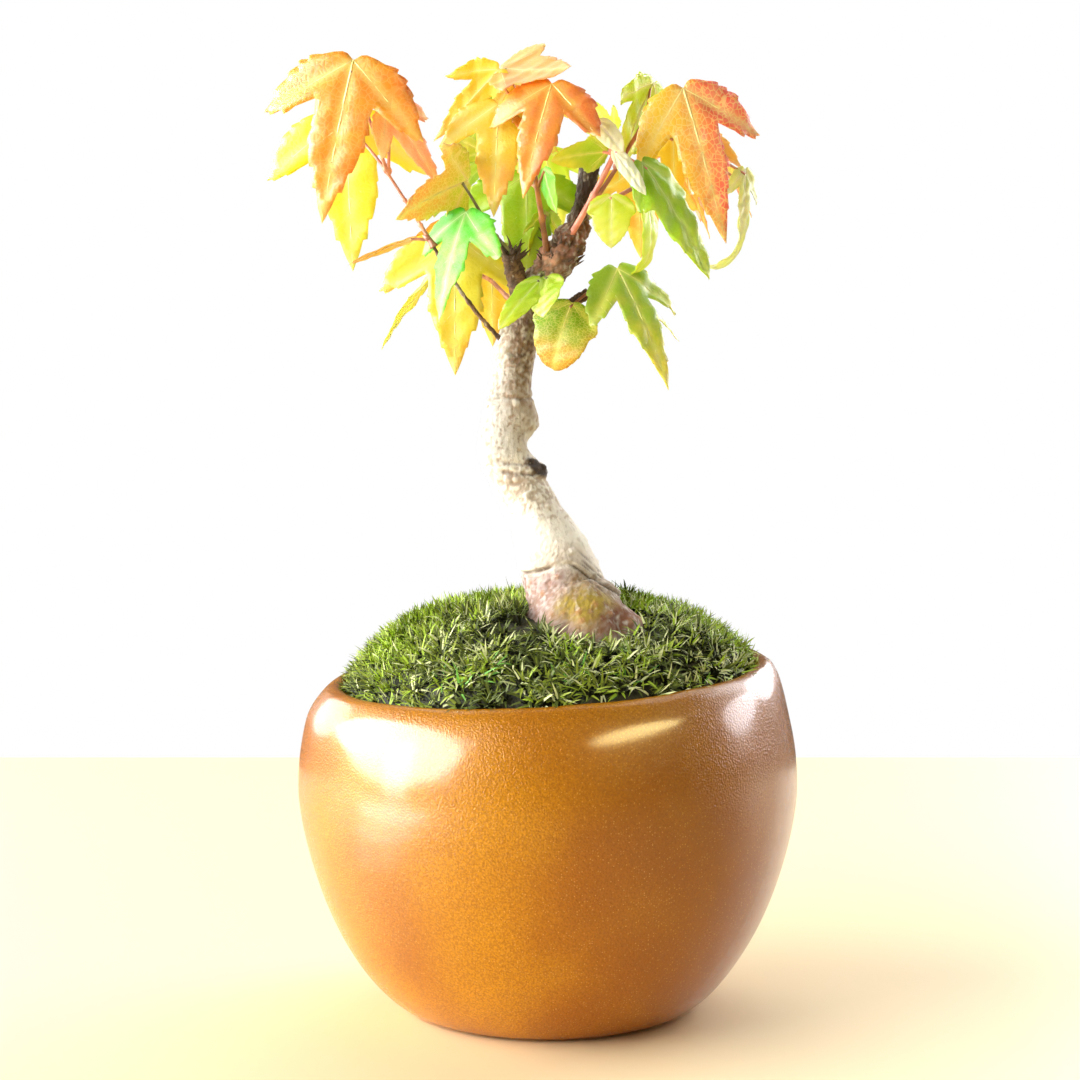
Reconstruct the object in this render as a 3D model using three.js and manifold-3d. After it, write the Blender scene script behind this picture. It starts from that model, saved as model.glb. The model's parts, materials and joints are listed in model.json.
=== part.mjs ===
// Trident maple bonsai in a round glazed pot, built in millimetres.
// +Z is up. The tree's front faces -Y, with +X to its viewer's right.
// The origin is under the middle of the pot.
// A bearing is a compass angle in plan, in degrees: 0 is +X, 90 is +Y (the back) and 270 faces the viewer.
import * as THREE from "three";
import { mergeVertices } from "three/addons/utils/BufferGeometryUtils.js";
import Module from "manifold-3d";

const wasm = await Module();
wasm.setup();

// Driving dimensions

const CLEAR = 0.3; // gap kept between neighbouring pieces

const POT = {
  radius: 45, // at the belly
  height: 61.5, // to the top of the lip
  belly: 40, // height of the widest ring
  foot: 24, // radius of the flat underside
  mouth: 38.3, // radius at the crest of the lip
  lip: 1.2, // radius of the rounded lip
  wall: 4.5,
  bowl: 1.25, // roundness of the bowl: 1 is a true ellipse
  lean: 0.06, // the hand-thrown lip stands higher on the right by this slope
  sides: 44,
  outsideSteps: 8, // facets from foot to belly, and again from belly to lip
  insideSteps: 4,
  lipSteps: 4,
};

const SOIL_LEVEL = 52; // flat soil inside the pot, where the trunk is cut
const SOIL_GAP = 1; // between the soil and the pot's wall
const SOIL_SIDES = 32;

const MOSS = {
  rise: 15.2, // of the dome over the lip
  flatness: 1.2, // 1 is a true ellipse
  clump: 0.7, // height of its clumps
  wave: 5.5, // size of its clumps
  hollow: 1.3, // room left round the roots
  sides: 36,
  steps: 9,
};

// Stations along the trunk, from below its cut at the soil to its pruned tip: x, y, z and radius.
const TRUNK = {
  stations: [
    [5.8, -11.4, SOIL_LEVEL - 9, 8.6],
    [4.6, -10.5, 70, 8],
    [3, -8.8, 77.5, 7],
    [1.5, -7.2, 82.5, 6.3],
    [-1.8, -5.4, 89.5, 4.9],
    [-5.3, -4, 96, 4.6],
    [-7.2, -3, 102.5, 4.6],
    [-7, -2.2, 108, 4.5],
    [-6.4, -1.4, 115, 3.6],
    [-5.2, -0.8, 122, 3.5],
    [-2.6, -0.3, 128.5, 3.6],
    [2.2, 0.2, 137, 3.5],
    [5.8, 0.6, 144, 2.8],
    [7.4, 1, 152, 2.7],
  ],
  sides: 20,
  rings: 60,
};

// Root flare: how far up the trunk it reaches, how it curves out and how narrow a root is. Each root has
// a bearing and a swell, which is a share of the trunk's radius.
const FLARE = {
  reach: 0.135,
  curve: 1.3,
  narrow: 4,
  roots: [
    { bearing: 326, swell: 2.2 },
    { bearing: 290, swell: 1.9 },
    { bearing: 250, swell: 1.1 },
    { bearing: 160, swell: 0.8 },
    { bearing: 70, swell: 0.9 },
  ],
};

// Knots and shoulders that swell the trunk: height, bearing, how far each stands out and how wide it is.
// A bulge below nought is a hollow.
const KNOTS = [
  { height: 107, bearing: 0, bulge: 0.9, reach: 2.6 },
  { height: 97, bearing: 345, bulge: 1, reach: 1.9 },
  { height: 101.7, bearing: 350, bulge: -1.6, reach: 2.7 },
  { height: 101, bearing: 185, bulge: 0.7, reach: 4 },
  { height: 83, bearing: 190, bulge: 0.9, reach: 4 },
  { height: 138.5, bearing: 335, bulge: 2, reach: 3.4 },
];

// Half of a leaf's outline in shares of its length: along the midrib, then out from it.
const LEAF = {
  half: [
    [0, 0],
    [-0.04, 0.08],
    [0.02, 0.27],
    [0.13, 0.4],
    [0.4, 0.53],
    [0.35, 0.35],
    [0.27, 0.19],
    [0.4, 0.175],
    [0.54, 0.17],
    [0.72, 0.1],
    [0.88, 0.05],
    [1, 0],
  ],
  rib: [0.72, 0.45, 0.2], // places along the midrib where the blade may bend
  hair: 0.001,
  thickness: 0.013, // share of its length
  arch: 0.16, // how far the midrib's tip bends down, as a share of its length
  sag: 0.5, // how far the side lobes bend down, by the square of their distance from the midrib
  root: 0.07, // how far the stalk runs into the blade
};

const STALK = { root: 0.46, tip: 0.3, lift: 0.06, sides: 3, rings: 4 }; // lift is a share of its length
const STEM = { root: 0.8, tip: 0.6, sides: 5, rings: 4 };
const BOUGH = { sides: 8, rings: 6 };
const STEM_GAP = 3 * CLEAR; // from a bough's tip to the stem that grows on from it

// Limbs that carry the foliage. Each leaves the trunk at a share of its length and ends at a tip.
const BOUGHS = [
  { name: "left_bough", at: 0.655, tip: [-20.5, -6.5, 138.5], bow: [-1.5, -0.5, -1.5], root: 1.2, end: 0.8 },
  { name: "right_bough", at: 0.715, tip: [7.2, -2.5, 129.5], bow: [0, -0.5, -1], root: 1.3, end: 0.9 },
  { name: "pruned_stub", at: 0.745, tip: [-6.6, -3.4, 136.6], bow: [-0.6, 0, -0.4], root: 2.1, end: 1.5 },
  { name: "back_bough", at: 0.765, tip: [2.5, 10.5, 140.5], bow: [0, 0.6, -1], root: 1.6, end: 1.1 },
];

// Foliage of the near side, a spray at a time. The stem grows to a tip from a bough's end, or from the trunk at
// a share of its length. Each leaf has the share of the stem where its stalk leaves, and the stalk's bearing,
// rise and length. Then comes the blade: the bearing that it faces, the angle that it hangs below level, its
// roll, its length and, where it isn't the usual one, its width.
const SPRAYS = [
  {
    name: "left_spray",
    colour: 0xf2ab3f,
    from: "left_bough",
    tip: [-28.3, -5, 150.7],
    bow: [0.5, 0, -0.5],
    leaves: [
      { at: 1, stalk: [208, 72, 20.2], blade: [232, 70, -30, 29, 0.92] },
      { at: 1, stalk: [138, 45, 14.5], blade: [282, 76, 10, 28] },
      { at: 0.97, stalk: [262, 80, 12.2], blade: [12, 52, 70, 18, 0.7] },
      { at: 0.1, stalk: [176, 10, 2.5], blade: [184, 18, 66, 13, 0.4] },
    ],
  },
  {
    name: "left_low_spray",
    colour: 0x8fd03a,
    from: "pruned_stub",
    tip: [-10.5, -4.6, 141],
    bow: [-0.5, 0, 0.6],
    leaves: [
      { at: 1, stalk: [221, 28, 5.8], blade: [222, 63, -3, 20, 0.95] },
      { at: 0.55, stalk: [140, 2, 10], blade: [270, 80, 0, 25] },
      { at: 1, stalk: [171, 66, 9], blade: [216, 18, 65, 18.5, 1.15] },
    ],
  },
  {
    name: "centre_spray",
    colour: 0xf0a13c,
    from: "trunk",
    at: 0.815,
    tip: [-4.6, -2.5, 162],
    bow: [0.4, -0.8, 0],
    leaves: [
      { at: 1, stalk: [159, 59, 8], blade: [335, 8, -150, 14.5, 0.85] },
      { at: 1, stalk: [314, 27, 8.5], blade: [241, 56, -10, 22, 0.9] },
      { at: 0.96, stalk: [205, 20, 5], blade: [258, 74, -8, 20] },
      { at: 0.9, stalk: [188, 64, 10.5], blade: [137, 36, 52, 19, 0.65] },
      { at: 0.5, stalk: [110, 25, 6], blade: [268, 82, 0, 20] },
    ],
  },
  {
    name: "right_inner_spray",
    colour: 0xa8d63f,
    from: "trunk",
    at: 0.82,
    tip: [11.7, -7, 154.1],
    bow: [0.4, -0.6, -0.8],
    leaves: [
      { at: 1, stalk: [346, -20, 5], blade: [330, 50, 25, 24, 0.62] },
      { at: 0.95, stalk: [6, -48, 9.5], blade: [350, 80, 18, 16, 0.6] },
      { at: 0.62, stalk: [330, 8, 4], blade: [266, 70, 0, 9.5, 1.25] },
      { at: 1, stalk: [264, 6, 3], blade: [321, 47, 55, 10, 0.5] },
      { at: 1, stalk: [210, 55, 6.5], blade: [320, 42, 60, 7.5, 0.8] },
      { at: 0.98, stalk: [150, 20, 1.5], blade: [196, 4, 60, 11, 0.9] },
    ],
  },
  {
    name: "right_spray",
    colour: 0xf08c3c,
    from: "trunk",
    at: 0.86,
    tip: [17.5, 1.5, 160.5],
    bow: [0.6, 0, -0.8],
    leaves: [
      { at: 1, stalk: [318, 30, 9.5], blade: [315, 67, 40, 28.4, 0.76] },
      { at: 1, stalk: [60, 68, 6.5], blade: [196, 62, 55, 19, 0.9] },
      { at: 0.95, stalk: [5, -24, 20], blade: [269, 60, -30, 14, 0.45] },
      { at: 0.9, stalk: [0, -8, 6], blade: [285, 82, 10, 14, 0.9] },
      { at: 0.72, stalk: [112, 37, 6.5], blade: [167, -55, 54, 9] },
    ],
  },
  {
    name: "right_low_spray",
    colour: 0x9fc93a,
    from: "right_bough",
    tip: [9.4, -3, 131.2],
    bow: [0, 0, -0.3],
    leaves: [
      { at: 1, stalk: [335, 40, 4], blade: [306, 47, 10, 25, 0.68] },
      { at: 0.9, stalk: [246, -30, 6], blade: [228, 58, -38, 14.5, 1.35] },
      { at: 1, stalk: [40, -10, 5], blade: [352, 34, 0, 14] },
    ],
  },
  {
    name: "front_spray",
    colour: 0x8cc63c,
    from: "trunk",
    at: 0.725,
    tip: [-1.4, -6.8, 132.5],
    bow: [0, 0, 0.3],
    leaves: [
      { at: 1, stalk: [301, 3, 2.6], blade: [253, 48, 23, 8.5, 1.4] },
      { at: 1, stalk: [273, -10, 2.2], blade: [222, 37, -38, 12.5, 0.6] },
    ],
  },
];

// Foliage on the far side, which is dealt out by rule in opposite pairs along each stem.
const FAR_SPRAYS = [
  {
    name: "back_spray",
    colour: 0xb9cf3f,
    from: "back_bough",
    tip: [-6, 17, 161],
    bow: [0, 2, -1],
    seed: 11,
  },
  {
    name: "back_left_spray",
    colour: 0xe0b840,
    from: "trunk",
    at: 0.73,
    tip: [-15, 22, 135],
    bow: [0, 0, 1],
    seed: 23,
  },
  {
    name: "back_right_spray",
    colour: 0xe49a3e,
    from: "trunk",
    at: 0.9,
    tip: [24, 22, 152],
    bow: [0, 0, 1],
    seed: 7,
  },
];

// A far leaf: its place on the stem, its stalk's spread from the stem's way, and how much each value varies.
// The outer pair spreads less and rises more.
const FAR_LEAF = {
  places: [0.58, 1],
  spread: [38, 25],
  rise: [28, 58],
  stalk: 8,
  hang: 48,
  length: 18.5,
  vary: 0.18,
};

// Tools shared by every piece

const radians = THREE.MathUtils.degToRad;

function seeded(seed) {
  let state = seed;
  return () => {
    state = (Math.imul(state, 1664525) + 1013904223) >>> 0;
    return state / 2 ** 32;
  };
}

function heading(bearing, rise) {
  const level = Math.cos(radians(rise));
  return new THREE.Vector3(
    level * Math.cos(radians(bearing)),
    level * Math.sin(radians(bearing)),
    Math.sin(radians(rise)),
  );
}

function closed(geometry) {
  geometry.deleteAttribute("normal");
  geometry.deleteAttribute("uv");
  return mergeVertices(geometry, 1e-4);
}

function solidOf(geometry) {
  const welded = closed(geometry);
  const vertProperties = new Float32Array(welded.getAttribute("position").array);
  const triVerts = new Uint32Array(welded.index.array);
  return new wasm.Manifold(new wasm.Mesh({ numProp: 3, vertProperties, triVerts }));
}

function geometryOf(solid) {
  const { vertProperties, triVerts } = solid.getMesh();
  return new THREE.BufferGeometry()
    .setAttribute("position", new THREE.BufferAttribute(vertProperties, 3))
    .setIndex(new THREE.BufferAttribute(triVerts, 1));
}

// Moves every vertex of a geometry to where a function puts it.
function reshape(geometry, place) {
  const position = geometry.getAttribute("position");
  const point = new THREE.Vector3();
  for (let i = 0; i < position.count; i++) {
    point.fromBufferAttribute(position, i);
    place(point);
    position.setXYZ(i, point.x, point.y, point.z);
  }
  return geometry;
}

// A closed limb along a curve, whose radius is a function of the share of its length and the angle round it.
function limb(curve, radius, sides, rings) {
  const up = new THREE.Vector3(0, 1, 0);
  const turn = new THREE.Quaternion();
  return reshape(new THREE.CylinderGeometry(1, 1, 1, sides, rings), (point) => {
    const share = THREE.MathUtils.clamp(point.y + 0.5, 0, 1);
    const size = Math.hypot(point.x, point.z) * radius(share, Math.atan2(-point.z, point.x));
    const angle = Math.atan2(point.z, point.x);
    turn.setFromUnitVectors(up, curve.getTangent(share));
    point.set(size * Math.cos(angle), 0, size * Math.sin(angle)).applyQuaternion(turn);
    point.add(curve.getPoint(share));
  });
}

function taper(root, tip) {
  return (share) => root + (tip - root) * share;
}

// A bowed line between two points. The bow moves its middle.
function bowed(start, end, bow) {
  const middle = start.clone().add(end).multiplyScalar(0.5).add(bow);
  return new THREE.QuadraticBezierCurve3(start, middle, end);
}

// Pot, soil and moss

function potLean(point) {
  const share = THREE.MathUtils.smoothstep(point.z, SOIL_LEVEL, POT.height);
  point.z += POT.lean * point.x * share;
}

// One face of the bowl as radius and height, from its foot to the crest of the lip, inset from the outside.
function bowlOutline(inset, bottom, top, steps) {
  const outline = [];
  for (let i = 0; i <= steps; i++) {
    const angle = (i / steps) * (Math.PI / 2);
    const radius = POT.foot + (POT.radius - POT.foot) * Math.sin(angle) ** POT.bowl - inset;
    const height = POT.belly - (POT.belly - bottom) * Math.cos(angle) ** POT.bowl;
    outline.push(new THREE.Vector2(radius, height));
  }
  for (let i = 1; i <= steps; i++) {
    const angle = (i / steps) * (Math.PI / 2);
    const radius = POT.mouth + (POT.radius - inset - POT.mouth) * Math.cos(angle);
    const height = POT.belly + (top - POT.belly) * Math.sin(angle);
    outline.push(new THREE.Vector2(radius, height));
  }
  return outline;
}

function lipOutline(steps) {
  const outline = [];
  for (let i = 1; i < steps; i++) {
    const angle = Math.PI / 2 + (i / steps) * Math.PI;
    const radius = POT.mouth + POT.lip * Math.cos(angle);
    const height = POT.height - POT.lip + POT.lip * Math.sin(angle);
    outline.push(new THREE.Vector2(radius, height));
  }
  return outline;
}

function turned(outline, sides) {
  return new THREE.LatheGeometry(outline, sides).rotateX(Math.PI / 2);
}

function makePot() {
  const outside = bowlOutline(0, 0, POT.height, POT.outsideSteps);
  const inside = bowlOutline(POT.wall, POT.wall, POT.height - 2 * POT.lip, POT.insideSteps).reverse();
  const [under, floor] = [new THREE.Vector2(0, 0), new THREE.Vector2(0, POT.wall)];
  const outline = [under, ...outside, ...lipOutline(POT.lipSteps), ...inside, floor];
  return reshape(turned(outline, POT.sides), potLean);
}

function makeSoil() {
  const floor = POT.wall + CLEAR;
  const bowl = bowlOutline(POT.wall + SOIL_GAP, floor, POT.height, POT.insideSteps);
  const wall = bowl.filter((point) => point.y < SOIL_LEVEL);
  const edge = new THREE.Vector2(wall.at(-1).x, SOIL_LEVEL);
  const outline = [new THREE.Vector2(0, floor), ...wall, edge, new THREE.Vector2(0, SOIL_LEVEL)];
  return turned(outline, SOIL_SIDES);
}

function makeMoss() {
  const bottom = SOIL_LEVEL + CLEAR;
  const edge = POT.mouth - POT.lip - 2 * CLEAR;
  const outline = [new THREE.Vector2(0, bottom), new THREE.Vector2(edge, bottom)];
  for (let i = 0; i <= MOSS.steps; i++) {
    const angle = (i / MOSS.steps) * (Math.PI / 2);
    const height = POT.height + MOSS.rise * Math.sin(angle) ** MOSS.flatness;
    outline.push(new THREE.Vector2(edge * Math.cos(angle), height));
  }
  const dome = reshape(turned(outline, MOSS.sides), (point) => {
    const over = THREE.MathUtils.smoothstep(point.z, POT.height, POT.height + MOSS.rise / 2);
    point.z += over * MOSS.clump * Math.sin(point.x / MOSS.wave) * Math.cos(point.y / MOSS.wave);
    potLean(point);
  });
  return geometryOf(solidOf(dome).subtract(rootRoom));
}

// Trunk and boughs

const trunkLine = new THREE.CatmullRomCurve3(
  TRUNK.stations.map(([x, y, z]) => new THREE.Vector3(x, y, z)),
  false,
  "catmullrom",
  0.5,
);

// The trunk's radius without its roots and knots.
function trunkTaper(share) {
  const place = share * (TRUNK.stations.length - 1);
  const index = Math.min(Math.floor(place), TRUNK.stations.length - 2);
  const [below, above] = [TRUNK.stations[index][3], TRUNK.stations[index + 1][3]];
  return THREE.MathUtils.lerp(below, above, place - index);
}

function trunkRadius(share, angle) {
  const round = trunkTaper(share);
  const low = Math.max(0, 1 - share / FLARE.reach) ** FLARE.curve;
  let flare = 0;
  for (const { bearing, swell } of FLARE.roots) {
    const ridge = Math.max(0, Math.cos(angle - radians(bearing))) ** FLARE.narrow;
    flare = Math.max(flare, swell * ridge);
  }
  const height = trunkLine.getPoint(share).z;
  let bulges = 0;
  for (const knot of KNOTS) {
    const up = (height - knot.height) / knot.reach;
    const aside = (2 * round * Math.sin((angle - radians(knot.bearing)) / 2)) / knot.reach;
    bulges += knot.bulge * Math.exp(-(up ** 2) - aside ** 2);
  }
  return round * (1 + low * flare) + bulges;
}

// The trunk, or the room that it needs, cut flat at the soil.
function makeTrunk(room) {
  const radius = (share, angle) => trunkRadius(share, angle) + room;
  const trunk = limb(trunkLine, radius, TRUNK.sides, TRUNK.rings);
  const [x, y, bottom] = TRUNK.stations[0];
  const cut = SOIL_LEVEL + CLEAR - 2 * room;
  const depth = 2 * (cut - bottom);
  const below = new THREE.BoxGeometry(2 * POT.radius, 2 * POT.radius, depth);
  below.translate(x, y, cut - depth / 2);
  return geometryOf(solidOf(trunk).subtract(solidOf(below)));
}

// The room that the trunk needs, which is cut out of whatever grows from it or round it.
const trunkRoom = solidOf(makeTrunk(CLEAR));
const rootRoom = solidOf(makeTrunk(MOSS.hollow));

const boughLines = new Map();

function makeBough({ name, at, tip, bow, root, end }) {
  const tipPoint = new THREE.Vector3(...tip);
  const line = bowed(trunkLine.getPoint(at), tipPoint, new THREE.Vector3(...bow));
  boughLines.set(name, line);
  const bough = limb(line, taper(root, end), BOUGH.sides, BOUGH.rings);
  return geometryOf(solidOf(bough).subtract(trunkRoom));
}

// Foliage

// One half of a blade as loose triangles, flat and a unit long, open along the midrib. The rib bows a hair
// inwards while the outline is cut into triangles and is then set straight.
function halfBlade(side) {
  const rib = LEAF.rib.map((along) => [along, LEAF.hair * along * (1 - along)]);
  const outline = [...LEAF.half, ...rib].map(([along, out]) => new THREE.Vector2(along, side * out));
  const solid = { depth: LEAF.thickness, bevelEnabled: false };
  const flat = new THREE.ExtrudeGeometry(new THREE.Shape(outline), solid);
  reshape(flat, (point) => {
    if (Math.abs(point.y) < LEAF.hair) point.y = 0;
  });
  const position = flat.getAttribute("position");
  const corners = [];
  for (let i = 0; i < position.count; i++) {
    corners.push(new THREE.Vector3().fromBufferAttribute(position, i));
  }
  return corners.filter((_, i) => {
    const first = i - (i % 3);
    return corners.slice(first, first + 3).some((corner) => corner.y !== 0);
  });
}

const blankBlade = [...halfBlade(-1), ...halfBlade(1)];

// A blade whose base is at a point, bent down at its tip and side lobes.
function leafBlade(base, [facing, hang, roll, length, width = 1]) {
  const along = heading(facing, -hang);
  const across = heading(facing + 90, 0).applyAxisAngle(along, radians(roll));
  const upper = along.clone().cross(across);
  const place = new THREE.Matrix4().makeBasis(along, across, upper);
  place.scale(new THREE.Vector3(length, length * width, length)).setPosition(base);
  const blade = new THREE.BufferGeometry().setFromPoints(blankBlade);
  reshape(blade, (point) => {
    point.z -= LEAF.thickness / 2 + LEAF.arch * point.x ** 2 + LEAF.sag * point.y ** 2;
  });
  return blade.applyMatrix4(place);
}

// A stalk that leaves the stem and runs a little way into the blade.
function leafStalk(start, base, [facing, hang, , length]) {
  const end = base.clone().addScaledVector(heading(facing, -hang), LEAF.root * length);
  const lift = new THREE.Vector3(0, 0, start.distanceTo(base) * STALK.lift);
  return limb(bowed(start, end, lift), taper(STALK.root, STALK.tip), STALK.sides, STALK.rings);
}

function stemLine({ from, at, tip, bow }) {
  const tipPoint = new THREE.Vector3(...tip);
  const middle = new THREE.Vector3(...bow);
  if (from === "trunk") return bowed(trunkLine.getPoint(at), tipPoint, middle);
  const bough = boughLines.get(from);
  const start = bough.getPoint(1).addScaledVector(bough.getTangent(1), STEM_GAP);
  return bowed(start, tipPoint, middle);
}

// One spray: a stem with its leaves fused to it.
function makeSpray(spray) {
  const line = stemLine(spray);
  const pieces = [limb(line, taper(STEM.root, STEM.tip), STEM.sides, STEM.rings)];
  for (const { at, stalk, blade } of spray.leaves) {
    const [bearing, rise, length] = stalk;
    const start = line.getPoint(at);
    const base = start.clone().addScaledVector(heading(bearing, rise), length);
    pieces.push(leafStalk(start, base, blade), leafBlade(base, blade));
  }
  const whole = pieces.map(solidOf).reduce((sum, piece) => sum.add(piece));
  return geometryOf(whole.subtract(trunkRoom));
}

// Leaves in opposite pairs along a far stem, each a little different by the stem's seed.
function dealLeaves({ tip, seed }) {
  const random = seeded(seed);
  const vary = (value) => value * (1 + FAR_LEAF.vary * (2 * random() - 1));
  const outward = THREE.MathUtils.radToDeg(Math.atan2(tip[1], tip[0]));
  const leaves = [];
  FAR_LEAF.places.forEach((at, pair) => {
    for (const side of [-1, 1]) {
      const bearing = outward + side * vary(FAR_LEAF.spread[pair]);
      const stalk = [bearing, vary(FAR_LEAF.rise[pair]), vary(FAR_LEAF.stalk)];
      const blade = [bearing, vary(FAR_LEAF.hang), 0, vary(FAR_LEAF.length)];
      leaves.push({ at, stalk, blade });
    }
  });
  return leaves;
}

// The whole plant

function finish(color, roughness) {
  return new THREE.MeshStandardMaterial({ color, roughness, metalness: 0 });
}

const GLAZE = finish(0xb87426, 0.28);
const EARTH = finish(0x4a3626, 0.95);
const MOSS_GREEN = finish(0x6a8a2c, 0.95);
const BARK = finish(0xc9b795, 0.85);
const DARK_BARK = finish(0x6b4f3c, 0.9);
const LEAF_SHEEN = 0.6;

const bonsai = new THREE.Group();

function add(name, geometry, material) {
  const mesh = new THREE.Mesh(geometry, material);
  mesh.name = name;
  bonsai.add(mesh);
}

add("pot", makePot(), GLAZE);
add("soil", makeSoil(), EARTH);
add("moss", makeMoss(), MOSS_GREEN);
add("trunk", makeTrunk(0), BARK);
for (const bough of BOUGHS) add(bough.name, makeBough(bough), DARK_BARK);
for (const spray of SPRAYS) add(spray.name, makeSpray(spray), finish(spray.colour, LEAF_SHEEN));
for (const spray of FAR_SPRAYS) {
  add(spray.name, makeSpray({ ...spray, leaves: dealLeaves(spray) }), finish(spray.colour, LEAF_SHEEN));
}

export default bonsai;
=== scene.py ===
import json
import math
from types import SimpleNamespace as Named

import bpy
import numpy as np
from mathutils import Matrix, Vector, noise
from mathutils.geometry import delaunay_2d_cdt


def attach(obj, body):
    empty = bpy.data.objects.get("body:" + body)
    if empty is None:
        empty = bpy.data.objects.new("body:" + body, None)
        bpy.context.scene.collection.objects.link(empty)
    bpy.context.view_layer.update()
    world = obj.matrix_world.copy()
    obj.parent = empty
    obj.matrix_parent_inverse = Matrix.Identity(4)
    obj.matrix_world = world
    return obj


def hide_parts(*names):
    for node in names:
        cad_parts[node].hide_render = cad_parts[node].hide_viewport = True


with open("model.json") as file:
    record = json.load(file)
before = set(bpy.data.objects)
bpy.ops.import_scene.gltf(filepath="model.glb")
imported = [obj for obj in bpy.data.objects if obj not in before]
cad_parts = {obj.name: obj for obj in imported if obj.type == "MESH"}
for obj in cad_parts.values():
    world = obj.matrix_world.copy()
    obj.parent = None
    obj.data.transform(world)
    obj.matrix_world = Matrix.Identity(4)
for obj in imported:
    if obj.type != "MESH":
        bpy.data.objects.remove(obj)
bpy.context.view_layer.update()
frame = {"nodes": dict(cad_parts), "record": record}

MM = 0.001  # metres in a millimetre
ROW_GAP = math.sqrt(0.75)  # between staggered rows of points that stand 1 apart

# Sizes and rows, nearly all as the solids have them

POT = Named(radius=45, height=61.5, belly=40, foot=24, mouth=38.3, lip=1.2, wall=4.5, bowl=1.25, lean=0.06)
SOIL_LEVEL = 52
MOSS = Named(rise=15.2, flatness=1.2, clump=0.7, wave=5.5, edge=36.5)
MOSS_SHOULDER = Named(rise=1.4, x=-22, width=11)  # the mound is fuller on its left

# Stations along the trunk, from below the soil to its pruned tip: x, y, z and radius.
TRUNK = np.array([
    (5.8, -11.4, SOIL_LEVEL - 9, 8.6),
    (4.6, -10.5, 70, 8),
    (3, -8.8, 77.5, 7),
    (1.5, -7.2, 82.5, 6.3),
    (-1.8, -5.4, 89.5, 4.9),
    (-5.3, -4, 96, 4.6),
    (-7.2, -3, 102.5, 4.6),
    (-7, -2.2, 108, 4.5),
    (-6.4, -1.4, 115, 3.6),
    (-5.2, -0.8, 122, 3.5),
    (-2.6, -0.3, 128.5, 3.6),
    (2.2, 0.2, 137, 3.5),
    (5.8, 0.6, 144, 2.8),
    (7.4, 1, 152, 2.7),
])

# Root flare: reach up the trunk, curve, narrowness of a root, and each root's bearing and swell.
FLARE = Named(reach=0.135, curve=1.3, narrow=4)
ROOTS = [(326, 2.2), (290, 1.9), (250, 1.1), (160, 0.8), (70, 0.9)]

# Knots and shoulders of the trunk: height, bearing, bulge and width. A bulge below nought is a hollow.
KNOTS = [
    (107, 0, 0.9, 2.6),
    (97, 345, 1, 1.9),
    (101, 185, 0.7, 4),
    (83, 190, 0.9, 4),
    (138.5, 335, 2, 3.4),
    (101.7, 350, -1.6, 2.7),
]

# Boughs: the share of the trunk where each leaves, its tip, its bow, and its radius at root and end.
BOUGHS = {
    "left_bough": (0.655, (-20.5, -6.5, 138.5), (-1.5, -0.5, -1.5), 1.2, 0.8),
    "right_bough": (0.715, (7.2, -2.5, 129.5), (0, -0.5, -1), 1.3, 0.9),
    "pruned_stub": (0.745, (-6.6, -3.4, 136.6), (-0.6, 0, -0.4), 2.1, 1.5),
    "back_bough": (0.765, (2.5, 10.5, 140.5), (0, 0.6, -1), 1.6, 1.1),
}

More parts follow.
